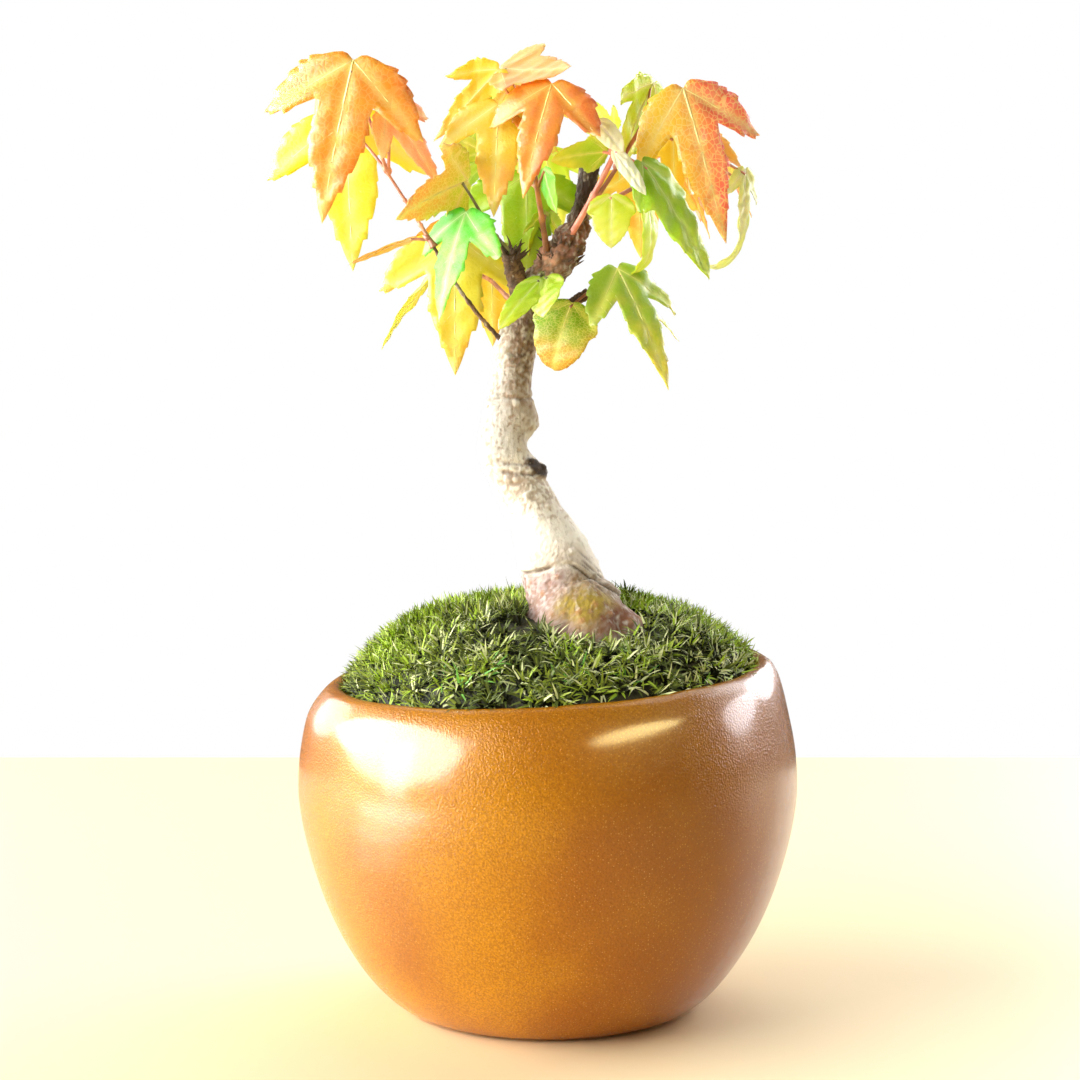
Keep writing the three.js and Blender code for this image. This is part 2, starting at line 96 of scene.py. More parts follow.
# Sprays: where the stem starts (a bough, or a share of the trunk), its tip and bow, the colour of its stalks,
# and its leaves. A leaf has its place on the stem, its stalk (bearing, rise, length), its blade and its tint.
# A blade has the bearing faced, angle below level, roll, length and width. Where they differ from a whole
# leaf's, the share of its side lobes and the turn that it curls through follow.
SPRAYS = {
    "left_spray": ("left_bough", (-28.3, -5, 150.7), (0.5, 0, -0.5), "rust", [
        (1, (208, 72, 20.2), (232, 70, -30, 29, 0.92), "orange"),
        (1, (138, 45, 14.5), (282, 76, 10, 28, 1), "yellow"),
        (0.97, (262, 80, 12.2), (12, 52, 70, 18, 0.7), "salmon"),
        (0.1, (176, 10, 2.5), (184, 18, 66, 13, 0.16, 0), "peach"),
    ]),
    "left_low_spray": ("pruned_stub", (-10.5, -4.6, 141), (-0.5, 0, 0.6), "olive", [
        (1, (221, 28, 5.8), (222, 63, -3, 20, 0.95), "emerald"),
        (0.55, (140, 2, 10), (270, 80, 0, 25, 1), "citron"),
        (1, (171, 66, 9), (216, 18, 65, 18.5, 1.15), "blush"),
    ]),
    "centre_spray": (0.815, (-4.6, -2.5, 162), (0.4, -0.8, 0), "amber", [
        (1, (159, 59, 8), (335, 8, -150, 14.5, 1.4, 0.5), "peach"),
        (0.98, (150, 50, 5), (300, 40, 30, 12, 0.8, 0.5), "orange"),
        (1, (314, 27, 8.5), (241, 56, -10, 22, 0.9), "amber"),
        (0.96, (205, 20, 5), (258, 74, -8, 20, 1), "gold"),
        (0.9, (188, 64, 10.5), (137, 36, 52, 19, 0.65), "gold"),
        (0.5, (110, 25, 6), (268, 82, 0, 20, 1.2), "green"),
        (0.85, (151, -21, 9.5), (157, -27, -49, 8.5, 1), "olive"),
        (0.5, (314, 63, 4), (292, 68, 75, 8.5, 0.8, 0.1), "emerald"),
        (0.3, (75, 26, 3.5), (147, 61, 6, 10.5, 1), "olive"),
    ]),
    "right_inner_spray": (0.82, (11.7, -7, 154.1), (0.4, -0.6, -0.8), "pink", [
        (1, (346, -20, 5), (330, 50, 25, 24, 0.62, 0.4), "green"),
        (0.95, (6, -48, 9.5), (350, 80, 18, 16, 0.6, 0.1, 1.5), "lime"),
        (0.62, (330, 8, 4), (266, 70, 0, 9.5, 1.25, 0.2), "lime"),
        (1, (264, 6, 3), (321, 47, 55, 10, 0.46, 0), "pale"),
        (1, (210, 55, 6.5), (320, 42, 60, 7.5, 0.8, 0), "pale"),
        (0.98, (150, 20, 1.5), (196, 4, 60, 11, 0.9, 0.3), "olive"),
    ]),
    "right_spray": (0.86, (17.5, 1.5, 160.5), (0.6, 0, -0.8), "rust", [
        (1, (318, 30, 9.5), (315, 67, 40, 28.4, 0.76), "coral"),
        (1, (60, 68, 6.5), (196, 62, 55, 19, 0.9), "lime"),
        (0.95, (5, -24, 20), (269, 60, -30, 14, 0.45), "mint"),
        (0.95, (5, -27, 20.5), (350, 84, 14, 25, 0.15, 0, 3), "mint"),
        (0.9, (0, -8, 6), (285, 82, 10, 14, 0.9), "gold"),
        (0.72, (112, 37, 6.5), (167, -55, 54, 9, 1), "lime"),
        (0.6, (53, 50, 4), (61, -46, 27, 8, 1, 0.4), "green"),
    ]),
    "right_low_spray": ("right_bough", (9.4, -3, 131.2), (0, 0, -0.3), "rust", [
        (1, (335, 40, 4), (306, 47, 10, 25, 0.68), "olive"),
        (0.9, (210, -28, 6.5), (228, 60, -30, 13.6, 1.3, 0.15, 1.2), "dotted"),
        (1, (40, -10, 5), (352, 34, 0, 14, 1), "olive"),
    ]),
    "front_spray": (0.725, (-1.4, -6.8, 132.5), (0, 0, 0.3), "olive", [
        (1, (301, 3, 2.6), (253, 48, 23, 8.5, 1.4, 0.1), "green"),
        (1, (273, -10, 2.2), (222, 37, -38, 12.5, 0.6, 0.1), "green"),
    ]),
}

# Sprays on the far side, dealt out by rule: start, tip, bow, stalks, seed and tints.
FAR_SPRAYS = {
    "back_spray": ("back_bough", (-6, 17, 161), (0, 2, -1), "amber", 11, ("lime", "green", "gold", "olive")),
    "back_left_spray": (0.73, (-15, 22, 135), (0, 0, 1), "rust", 23, ("gold", "yellow", "dotted", "orange")),
    "back_right_spray": (0.9, (24, 22, 152), (0, 0, 1), "rust", 7, ("orange", "gold", "coral", "salmon")),
}
FAR_LEAF = Named(places=(0.58, 1), spread=(38, 25), rise=(28, 58), stalk=8, hang=48, length=18.5, vary=0.18)

STALK = Named(root=0.36, tip=0.26, lift=0.06, slim=0.85)
BUD = Named(length=1.6, radius=0.62, tilt=25)  # at each stalk's foot, tilted up from the stalk
STEM = Named(root=0.8, tip=0.6)
STEM_AT = 0.96  # where a stem leaves a bough, as a share of the bough
# How thin the visible stems and the left bough are beside their solids, which are stouter.
SLIM = dict(left_bough=0.36, left_spray=0.42, centre_spray=0.65, right_inner_spray=0.78)
SLIM_REST = 0.56

# A leaf's half outline in shares of its length, in three edges: base to side lobe, notch to side lobe and
# notch to tip. The second row of each is the outline of a young leaf that has no side lobes yet.
LOWER_EDGE = np.array([
    [(0, 0), (-0.04, 0.08), (0.02, 0.27), (0.13, 0.4), (0.4, 0.53)],
    [(0, 0), (-0.02, 0.07), (0.04, 0.19), (0.14, 0.27), (0.28, 0.31)],
])
NOTCH_EDGE = np.array([
    [(0.27, 0.19), (0.35, 0.35), (0.4, 0.53)],
    [(0.46, 0.3), (0.37, 0.315), (0.28, 0.31)],
])
MIDDLE_EDGE = np.array([
    [(0.27, 0.19), (0.4, 0.175), (0.54, 0.17), (0.72, 0.1), (0.88, 0.05), (1, 0)],
    [(0.46, 0.3), (0.59, 0.28), (0.72, 0.235), (0.84, 0.165), (0.94, 0.08), (1, 0)],
])
SIDE_VEIN = np.array([(0.385, 0.515), (0.34, 0.26)])  # end of the vein that runs into a side lobe
LEAF = Named(arch=0.16, sag=0.36, root=0.07, thickness=0.006, grid=0.036, tooth=0.022)
LEAF_SKIN = Named(puff=0.014, vein=0.09, ripple=0.045, crinkle=0.006)  # swelling beside veins, and waves

# Colours


def tone(red, green, blue):
    """A screen colour from 0 to 255 as the light that Blender works with."""
    shares = np.array([red, green, blue]) / 255
    linear = np.where(shares <= 0.04045, shares / 12.92, ((shares + 0.055) / 1.055) ** 2.4)
    return (*(float(value) for value in linear), 1.0)


# Leaf tints: screen colours of body, second colour and vein, how the second spreads (along, across,
# start), and gloss.
TINTS = {
    "orange": ((242, 170, 34), (242, 146, 50), (255, 230, 140), (0.2, 0.5, 0.4), 0.42),
    "amber": ((230, 160, 42), (212, 110, 44), (252, 206, 104), (0.1, 0.9, 0.4), 0.4),
    "gold": ((244, 206, 62), (246, 172, 84), (255, 240, 150), (0.7, 0.2, -0.1), 0.45),
    "yellow": ((252, 236, 50), (244, 240, 104), (255, 250, 170), (0.5, 0.3, 0.2), 0.45),
    "citron": ((226, 216, 62), (250, 190, 84), (248, 240, 140), (1.1, -0.4, -0.35), 0.45),
    "salmon": ((253, 166, 142), (252, 204, 148), (255, 222, 190), (-0.6, -0.9, 0.5), 0.5),
    "peach": ((252, 184, 106), (250, 150, 84), (255, 224, 160), (0.5, 0.4, 0.1), 0.45),
    "coral": ((244, 204, 56), (246, 112, 82), (254, 226, 140), (0.4, 2.2, 0.4), 0.42),
    "emerald": ((80, 206, 14), (158, 228, 46), (206, 248, 166), (0.5, 0.4, 0.1), 0.6),
    "green": ((154, 202, 18), (198, 220, 48), (216, 240, 130), (0.5, 0.3, 0.15), 0.4),
    "lime": ((196, 230, 48), (226, 238, 100), (240, 248, 160), (0.7, 0.3, 0.1), 0.42),
    "olive": ((158, 194, 46), (236, 220, 78), (234, 236, 130), (0.9, 0.2, -0.1), 0.42),
    "pale": ((244, 247, 196), (250, 232, 184), (252, 252, 226), (0.4, 0.4, 0.0), 0.5),
    "mint": ((214, 234, 140), (230, 238, 196), (242, 248, 206), (0.6, 0.3, 0.1), 0.45),
    "dotted": ((136, 180, 20), (216, 150, 38), (238, 230, 122), (1.4, 0.4, -0.25), 0.5),
    "blush": ((206, 214, 66), (254, 172, 104), (255, 234, 160), (1.4, 0.3, 0.05), 0.42),
}
# How strong the fine pale net of veins is on some tints, and on the rest.
NETTED = {"coral": 0.6, "dotted": 0.55, "blush": 0.55, "orange": 0.2, "salmon": 0.25}
NETTED_REST = 0.08

# Two screen colours for each kind of stalk.
STALK_TONES = {
    "rust": ((212, 140, 100), (164, 98, 66)),
    "olive": ((132, 132, 58), (96, 84, 44)),
    "amber": ((214, 138, 52), (156, 96, 46)),
    "pink": ((244, 156, 126), (220, 122, 96)),
}


def paint(red, green, blue):
    """A screen colour as one to lay on bark."""
    return np.array(tone(red, green, blue)[:3])


CREAM = paint(240, 234, 220)
TAN = paint(160, 122, 82)
UMBER = paint(96, 70, 50)
SOOT = paint(50, 34, 28)
OCHRE = paint(178, 152, 44)
ROSE = paint(180, 150, 148)
RUST = paint(134, 80, 52)
WART = paint(190, 130, 72)
SALMON = paint(238, 182, 152)
ASH = paint(198, 198, 190)

# Maths shared by every piece


def seeded(seed):
    """The same run of numbers from 0 to 1 that the solids' far leaves are dealt by."""
    state = seed

    def draw():
        nonlocal state
        state = (state * 1664525 + 1013904223) % 2**32
        return state / 2**32

    return draw


def heading(bearing, rise):
    bearing, rise = math.radians(bearing), math.radians(rise)
    level = math.cos(rise)
    return np.array([level * math.cos(bearing), level * math.sin(bearing), math.sin(rise)])


def unit(vectors):
    return vectors / np.linalg.norm(vectors, axis=-1, keepdims=True)


def ease(value, low, high):
    """0 at low, 1 at high and smooth between them."""
    share = np.clip((value - low) / (high - low), 0, 1)
    return share * share * (3 - 2 * share)


def bell(value, middle, width):
    """1 at the middle, and less and less to both sides of it."""
    return np.exp(-(((value - middle) / width) ** 2))


def spot(points, place, reach):
    """1 at a place, and less and less away from it."""
    return np.exp(-np.sum(((points - place) / reach) ** 2, axis=1))


def through(stations, shares):
    """Points at shares of a smooth curve that passes through stations."""
    stations = np.asarray(stations, float)
    ends = 2 * stations[[0, -1]] - stations[[1, -2]]
    padded = np.vstack([ends[:1], stations, ends[1:]])
    place = np.clip(np.asarray(shares, float), 0, 1) * (len(stations) - 1)
    index = np.minimum(place.astype(int), len(stations) - 2)
    t = (place - index)[..., None]
    before, start, end, after = (padded[index + k] for k in range(4))
    leave, arrive = 0.5 * (end - before), 0.5 * (after - start)
    bend = (2 * start - 2 * end + leave + arrive) * t**3
    return bend + (-3 * start + 3 * end - 2 * leave - arrive) * t**2 + leave * t + start


def bowed(start, end, bow):
    """A bowed line as a function of shares of its length. The bow moves its middle."""
    start, end = np.asarray(start, float), np.asarray(end, float)
    middle = (start + end) / 2 + np.asarray(bow, float)

    def points(shares):
        s = np.atleast_1d(np.asarray(shares, float))[:, None]
        return (1 - s) ** 2 * start + 2 * s * (1 - s) * middle + s**2 * end

    return points


def trunk_line(shares):
    return through(TRUNK[:, :3], shares)


def trunk_radius(shares, bearings):
    """The trunk's radius at shares of its length and bearings in radians, with its roots and knots."""
    stations = np.linspace(0, 1, len(TRUNK))
    rounded = np.interp(shares, stations, TRUNK[:, 3])
    low = np.maximum(0, 1 - shares / FLARE.reach) ** FLARE.curve
    flare = np.zeros(np.broadcast(shares, bearings).shape)
    for bearing, swell in ROOTS:
        ridge = np.maximum(0, np.cos(bearings - math.radians(bearing))) ** FLARE.narrow
        flare = np.maximum(flare, swell * ridge)
    height = trunk_line(shares)[..., 2]
    bulges = 0
    for knot, bearing, bulge, width in KNOTS:
        aside = 2 * rounded * np.sin((bearings - math.radians(bearing)) / 2) / width
        bulges = bulges + bulge * np.exp(-(((height - knot) / width) ** 2) - aside**2)
    return rounded * (1 + low * flare) + bulges


def field(points, size, seed=0.0):
    """Smooth noise from -1 to 1 at each point, with features of a size."""
    scaled = np.asarray(points, float) / size + seed
    return np.array([noise.noise(Vector(point)) for point in scaled])


def cells(points, size):
    """How far each point is from the nearest of scattered cell centres, and from the edge of its cell."""
    found = [noise.voronoi(Vector(point))[0] for point in np.asarray(points, float) / size]
    found = np.array([distances[:2] for distances in found])
    return found[:, 0], found[:, 1] - found[:, 0]


# Meshes


def placed(name, data):
    """A new object in the scene."""
    made = bpy.data.objects.new(name, data)
    bpy.context.scene.collection.objects.link(made)
    return made


class Pile:
    """Points and faces that are gathered to become one mesh."""

    def __init__(self):
        self.points, self.faces, self.kinds, self.colours = [], [], [], []
        self.maps = {}
        self.count = 0

    def add(self, points, faces, kind=0, colours=None, **maps):
        """Adds points and blocks of faces, as arrays of corner numbers. A map has a pair for each point."""
        for block in faces:
            block = np.asarray(block, int)
            self.faces.append(block + self.count)
            self.kinds.append(np.full(len(block), kind))
        for name, pairs in maps.items():
            self.maps.setdefault(name, []).append(np.asarray(pairs, float))
        if colours is not None:
            self.colours.append(colours)
        self.points.append(np.asarray(points, float))
        self.count += len(points)

    def make(self, name, materials):
        points = np.concatenate(self.points) * MM
        corners = np.concatenate([block.ravel() for block in self.faces])
        sizes = np.concatenate([np.full(len(block), block.shape[1]) for block in self.faces])
        mesh = bpy.data.meshes.new(name)
        mesh.vertices.add(len(points))
        mesh.vertices.foreach_set("co", points.ravel().astype(np.float32))
        mesh.loops.add(len(corners))
        mesh.loops.foreach_set("vertex_index", corners.astype(np.int32))
        mesh.polygons.add(len(sizes))
        mesh.polygons.foreach_set("loop_start", (np.cumsum(sizes) - sizes).astype(np.int32))
        mesh.polygons.foreach_set("material_index", np.concatenate(self.kinds).astype(np.int32))
        mesh.polygons.foreach_set("use_smooth", np.ones(len(sizes), bool))
        for map_name, pairs in self.maps.items():
            layer = mesh.uv_layers.new(name=map_name)
            layer.uv.foreach_set("vector", np.concatenate(pairs)[corners].ravel().astype(np.float32))
        if self.colours:
            layer = mesh.color_attributes.new("tint", "FLOAT_COLOR", "POINT")
            layer.data.foreach_set("color", np.concatenate(self.colours).ravel().astype(np.float32))
        for material in materials:
            mesh.materials.append(material)
        mesh.update(calc_edges=True)
        mesh.validate()
        return placed(name, mesh)


def dress(piece, slot, *nodes):
    """The piece rides on the plant's one body and stands for solids, whose parts are hidden. The slot is not
    used.
    """
    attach(piece, "root")
    if nodes:
        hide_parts(*nodes)


def ring_turns(sides):
    """Angles round a ring, with its first side repeated as its last."""
    return np.linspace(0, 2 * math.pi, sides + 1)


def ring_faces(rings, sides):
    """Faces of a tube whose first side is repeated as its last."""
    ring, side = np.meshgrid(np.arange(rings - 1), np.arange(sides), indexing="ij")
    corner = (ring * (sides + 1) + side).ravel()
    return np.stack([corner, corner + 1, corner + sides + 2, corner + sides + 1], axis=1)


def cross_axes(points):
    """Two axes across a line at each of its points, which turn as little as they can along it."""
    tangents = unit(np.gradient(points, axis=0))
    helper = np.eye(3)[np.argmin(np.abs(tangents[0]))]
    first = unit(np.cross(tangents[0], helper))
    axes = []
    for tangent in tangents:
        first = unit(first - tangent * (first @ tangent))
        axes.append((first, np.cross(tangent, first)))
    return np.array(axes)


def spokes(points, sides):
    """At each point of a line, the directions to the corners of a ring round it."""
    axes = cross_axes(points)
    turns = ring_turns(sides)[None, :, None]
    return np.cos(turns) * axes[:, None, 0] + np.sin(turns) * axes[:, None, 1]


def cap_faces(rings, sides, middle):
    """Triangles between the last of some rings and one point."""
    last = (rings - 1) * (sides + 1) + np.arange(sides)
    return np.stack([np.full(sides, middle), last, last + 1], axis=1)


def tube(pile, points, radii, sides, kind=0):
    """A closed round tube along points, with a radius at each."""
    skin = points[:, None] + spokes(points, sides) * np.asarray(radii)[:, None, None]
    rings = len(points)
    middle = rings * (sides + 1)
    root = cap_faces(1, sides, middle)[:, [0, 2, 1]]
    tip = cap_faces(rings, sides, middle + 1)
    everything = np.vstack([skin.reshape(-1, 3), points[:1], points[-1:]])
    pile.add(everything, [ring_faces(rings, sides), root, tip], kind)


# Materials

HALF_FADE = (0.35, 0.65)  # where soft clouds begin and end


class Shader:
    """A material whose nodes are added by name."""

    def __init__(self, name, roughness, **values):
        self.material = bpy.data.materials.new(name)
        self.material.use_nodes = True
        self.tree = self.material.node_tree
        self.surface = self.tree.nodes["Principled BSDF"]
        self.surface.inputs["Roughness"].default_value = roughness
        for socket, value in values.items():
            self.surface.inputs[socket.replace("_", " ")].default_value = value

    def node(self, kind, inputs=None, **settings):
        made = self.tree.nodes.new("ShaderNode" + kind)
        for name, value in settings.items():
            setattr(made, name, value)
        for socket, value in (inputs or {}).items():
            self.feed(made.inputs[socket], value)
        return made

    def feed(self, socket, value):
        if isinstance(value, bpy.types.NodeSocket):
            self.tree.links.new(value, socket)
        else:
            socket.default_value = value

    def mix(self, share, first, second):
        """The colour between two colours."""
        made = self.node("Mix", data_type="RGBA")
        for index, value in ((0, share), (6, first), (7, second)):
            self.feed(made.inputs[index], value)
        return made.outputs[2]

    def work(self, operation, *values):
        """The result of one sum."""
        return self.node("Math", dict(enumerate(values)), operation=operation).outputs[0]

    def times(self, first, second):
        return self.work("MULTIPLY", first, second)

    def fade(self, value, low, high):
        """A number that goes from 0 at low to 1 at high."""
        inputs = {"Value": value, "From Min": low, "From Max": high}
        return self.node("MapRange", inputs, interpolation_type="SMOOTHSTEP").outputs["Result"]

    def place(self):
        """Where a point is on the piece, in metres."""
        return self.node("TexCoord").outputs["Object"]

    def cloud(self, scale, detail=2.0, place=None):
        inputs = {"Vector": place or self.place(), "Scale": scale, "Detail": detail}
        return self.node("TexNoise", inputs).outputs["Fac"]

    def done(self, colour, height=None, strength=1, distance=1):
        """The material with its colour and, where a height is given, its relief."""
        self.feed(self.surface.inputs["Base Color"], colour)
        if height is not None:
            bump = self.node("Bump", {"Height": height, "Strength": strength, "Distance": distance})
            self.feed(self.surface.inputs["Normal"], bump.outputs["Normal"])
        return self.material


def glaze():
    """Amber glaze with red-brown clouds, gold specks and a fine orange-peel skin, and painted shade that
    darkens it towards its right side.
    """
    made = Shader("amber_glaze", 0.27, Coat_Weight=0.45, Coat_Roughness=0.16, Specular_IOR_Level=0.1)
    clouds = made.fade(made.cloud(26), 0.35, 0.68)
    body = made.mix(clouds, tone(204, 138, 12), tone(170, 100, 10))
    # Painted shade: the glaze is laid darker brown towards its right side, away from the light.
    across = made.node("SeparateXYZ", {"Vector": made.place()}).outputs["X"]
    body = made.mix(made.times(made.fade(across, -0.01, 0.045), 0.65), body, tone(132, 74, 10))
    grain = made.fade(made.cloud(2600, 2), *HALF_FADE)
    body = made.mix(made.times(grain, 0.5), body, tone(138, 80, 8))
    specks = made.node("TexVoronoi", {"Vector": made.place(), "Scale": 2300})
    near = made.fade(specks.outputs["Distance"], 0.36, 0.16)
    chosen = made.node("SeparateColor", {"Color": specks.outputs["Color"]}).outputs["Red"]
    gold = made.times(near, made.fade(chosen, 0.4, 1))
    speckled = made.mix(made.times(gold, 0.5), body, tone(230, 172, 72))
    return made.done(speckled, made.cloud(2800, 1), 0.9, 0.0002)


def mottled(name, roughness, clouds, first, second, fade=None, relief=None):
    """A skin that wavers in clouds between two screen colours, with relief where it is given."""
    made = Shader(name, roughness)
    share = made.cloud(*clouds)
    if fade:
        share = made.fade(share, *fade)
    colour = made.mix(share, tone(*first), tone(*second))
    if relief:
        scale, detail, strength, distance = relief
        return made.done(colour, made.cloud(scale, detail), strength, distance)
    return made.done(colour)


def bark(name, freckle):
    """Bark whose colours lie on the mesh, with fine freckles and fibres over them."""
    made = Shader(name, 0.82, Specular_IOR_Level=0.25)
    laid = made.node("Attribute", attribute_name="tint").outputs["Color"]
    stretched = made.node("Mapping", {"Vector": made.place(), "Scale": (1, 1, 0.55)}).outputs["Vector"]
    freckles = made.fade(made.cloud(1100, 3, stretched), 0.52, 0.68)
    flecked = made.mix(made.times(freckles, freckle), laid, tone(126, 94, 64))
    pale = made.fade(made.cloud(760, 2, stretched), 0.56, 0.7)
    colour = made.mix(made.times(pale, 0.35), flecked, tone(240, 232, 212))
    return made.done(colour, made.cloud(1500, 4, stretched), 0.6, 0.0005)


def blade(name):
    """One leaf tint: two colours that spread over the blade, a paler mist along the veins, and a fine net."""
    body, second, vein = (tone(*colour) for colour in TINTS[name][:3])
    (along, across, start), gloss = TINTS[name][3:]
    made = Shader("leaf_" + name, gloss, Specular_IOR_Level=0.3)
    for setting, value in (("Weight", 0.75), ("Scale", 0.00035), ("Radius", (1, 0.85, 0.3))):
        made.surface.inputs["Subsurface " + setting].default_value = value
    own = made.node("UVMap", uv_map="leaf").outputs["UV"]
    split = made.node("SeparateXYZ", {"Vector": own})
    length, side = split.outputs["X"], made.work("SUBTRACT", split.outputs["Y"], 0.5)
    drift = made.times(made.work("SUBTRACT", made.cloud(170, 3), 0.5), 1.4)
    spread = made.work("ADD", made.times(length, along), made.times(side, across))
    share = made.work("ADD", made.work("ADD", spread, start), drift)
    coloured = made.mix(made.fade(share, 0.0, 1.0), body, second)
    out = made.work("ABSOLUTE", side)
    slope = SIDE_VEIN[0, 1] / SIDE_VEIN[0, 0]
    tilted = made.work("SUBTRACT", made.times(length, slope), out)
    aside = made.work("ABSOLUTE", made.times(tilted, 0.6))
    mist = made.fade(made.work("MINIMUM", out, aside), 0.06, 0.0)
    coloured = made.mix(made.times(mist, 0.5), coloured, vein)
    net = made.node("TexVoronoi", {"Vector": own, "Scale": 27}, feature="DISTANCE_TO_EDGE")
    edge = net.outputs["Distance"]
    lines = made.times(made.fade(edge, 0.1, 0.02), NETTED.get(name, NETTED_REST))
    return made.done(made.mix(lines, coloured, vein), edge, 0.25, 0.0003)


def stalk_skin(name):
    return mottled("stalk_" + name, 0.5, (320, 3), *STALK_TONES[name], HALF_FADE, (1600, 2, 0.3, 0.0002))


def plain(name, colour, roughness, **values):
    return Shader(name, roughness, **values).done(colour)


# Pot, soil and moss


def pot_lean(points):
    """The hand-thrown lip stands a little higher on the right."""
    share = ease(points[:, 2], SOIL_LEVEL, POT.height)
    points[:, 2] += POT.lean * points[:, 0] * share
    return points


def bowl_outline(inset, bottom, top, steps):
    """Radius and height up one face of the bowl, from its foot to the crest of the lip."""
    low = np.linspace(0, math.pi / 2, steps + 1)
    high = low[1:]
    widest = POT.radius - POT.foot
    radius = POT.foot + widest * np.sin(low) ** POT.bowl - inset
    height = POT.belly - (POT.belly - bottom) * np.maximum(0, np.cos(low)) ** POT.bowl
    neck = POT.mouth + (POT.radius - inset - POT.mouth) * np.cos(high)
    rise = POT.belly + (top - POT.belly) * np.sin(high)
    return np.column_stack([np.append(radius, neck), np.append(height, rise)])


def make_pot():
    sides, steps, lip_steps = 220, 40, 14
    outside = bowl_outline(0, 0, POT.height, steps)
    turn = np.linspace(math.pi / 2, 3 * math.pi / 2, lip_steps + 1)[1:-1]
    lip_middle = POT.height - POT.lip
    lip = np.column_stack([POT.mouth + POT.lip * np.cos(turn), lip_middle + POT.lip * np.sin(turn)])
    inside = bowl_outline(POT.wall, POT.wall, POT.height - 2 * POT.lip, steps)[::-1]
    outline = np.vstack([[(0, 0)], outside, lip, inside, [(0, POT.wall)]])
    turns = ring_turns(sides)
    radius, height = (np.repeat(column[:, None], sides + 1, axis=1) for column in outline.T)
    points = np.stack([radius * np.cos(turns), radius * np.sin(turns), height], axis=2)
    points = pot_lean(points.reshape(-1, 3))
    wobble, wobble_size, squeeze = 0.28, 26, 1.5
    above_foot = ease(points[:, 2], 0.5, 8)
    outward = np.column_stack([points[:, :2] / POT.radius, np.zeros(len(points))])
    points += outward * (wobble * field(points * (1, 1, squeeze), wobble_size) * above_foot)[:, None]
    lip_wobble, lip_wobble_size, lip_reach = 0.25, 9, 3
    lip_share = ease(points[:, 2], POT.height - lip_reach, POT.height)
    points[:, 2] += lip_wobble * lip_share * field(points * (1, 1, 0), lip_wobble_size, 3.1)
    run = np.append(0, np.cumsum(np.linalg.norm(np.diff(outline, axis=0), axis=1)))
    pairs = np.stack(np.meshgrid(np.linspace(0.01, 0.99, sides + 1), 0.01 + 0.98 * run / run[-1]), axis=2)
    pile = Pile()
    pile.add(points, [ring_faces(len(outline), sides)], OFBake=pairs.reshape(-1, 2))
    dress(pile.make("glazed_pot", [glaze()]), "glaze", "pot")


def moss_height(x, y):
    """Height of the moss mound's skin."""
    level = np.clip(np.hypot(x, y) / MOSS.edge, 0, 1)
    sine = np.sqrt(1 - level**2)
    height = POT.height + MOSS.rise * sine ** MOSS.flatness
    over = ease(height, POT.height, POT.height + MOSS.rise / 2)
    height = height + over * MOSS.clump * np.sin(x / MOSS.wave) * np.cos(y / MOSS.wave)
    height = height + MOSS_SHOULDER.rise * bell(x, MOSS_SHOULDER.x, MOSS_SHOULDER.width) * over
    return height + POT.lean * x * ease(height, SOIL_LEVEL, POT.height)


MOSS_DEPTH = 2.7  # the blades stand on a felt that lies this far below the mound's skin


def make_mound():
    """The dark felt that the moss blades stand in."""
    sides, steps = 120, 40
    shares = np.sin(np.linspace(0, math.pi / 2, steps + 1))
    radius, turn = np.meshgrid(MOSS.edge * shares, ring_turns(sides), indexing="ij")
    x, y = radius * np.cos(turn), radius * np.sin(turn)
    points = np.stack([x, y, moss_height(x, y)], axis=2).reshape(-1, 3)
    rough, rough_size, skirt_rise = 0.5, 2.2, 0.5
    points[:, 2] += rough * field(points, rough_size) - MOSS_DEPTH
    skirt = points[-(sides + 1) :] * (1, 1, 0) + (0, 0, SOIL_LEVEL + skirt_rise)
    pile = Pile()
    pile.add(np.vstack([points, skirt]), [ring_faces(steps + 2, sides)[:, ::-1]])
    felt = mottled("moss_felt", 0.95, (420, 4), (30, 36, 10), (62, 62, 24), HALF_FADE, (1200, 4, 0.9, 0.0008))
    dress(pile.make("moss_mound", [felt]), "moss", "moss")


# Moss tints. The roots of all blades share the first.
MOSS_TONES = {
    "moss_root": tone(38, 42, 12),
    "moss_deep": tone(86, 100, 30),
    "moss_olive": tone(144, 160, 46),
    "moss_bright": tone(174, 206, 52),
    "moss_straw": tone(230, 236, 170),
    "moss_vivid": tone(120, 188, 76),
}
DEEP, OLIVE, BRIGHT, STRAW, VIVID = range(1, len(MOSS_TONES))
# Two kinds of tuft: spacing, blades in one, stem, and the least and most splay in degrees, curl in radians,
# length and half width of a blade.
FINE_TUFT = Named(
    spacing=1.3, blades=11, stem=0, splay=(6, 52), curl=(0.2, 1.3), length=(2.5, 4.2), width=(0.1, 0.18)
)
STAR_TUFT = Named(
    spacing=2.2, blades=18, stem=0.9, splay=(12, 68), curl=(0.2, 1.6), length=(2.6, 4.9), width=(0.14, 0.26)
)
# Where a blade's points lie, in shares of its length, and its width there.
BLADE_STEPS = ((0, 0.7), (0.36, 1), (0.72, 0.7), (1, 0))
BLADE_POINTS = 7  # a pair at each step, and one at the tip
# The stars' ground, from its edge to where they are thick: towards the viewer, and to the right on a slant.
STAR_GROUND = Named(near=(-4, 20), right=(-22, -2), slant=0.3)
# The strip along the near rim, towards the viewer, where some blades are vivid and fewer are straw.
RIM_GROUND = (24, 33)
# Bare hollows in the moss by the trunk, whose blades are also painted darker as painted shade, and a taller
# sprig by its left: place and reach.
HOLLOWS = [((-5.5, -16.5), 5.5), ((19, -20), 3)]
SPRIG = ((-6.2, -9.5), 2.2)


def trunk_clear(points):
    """How far points near the ground are from the trunk's skin."""
    shares = np.linspace(0, 0.3, 200)
    line = trunk_line(shares)
    share = np.interp(points[:, 2], line[:, 2], shares)
    offset = points[:, :2] - trunk_line(share)[:, :2]
    bearing = np.arctan2(offset[:, 1], offset[:, 0])
    return np.linalg.norm(offset, axis=1) - trunk_radius(share, bearing)


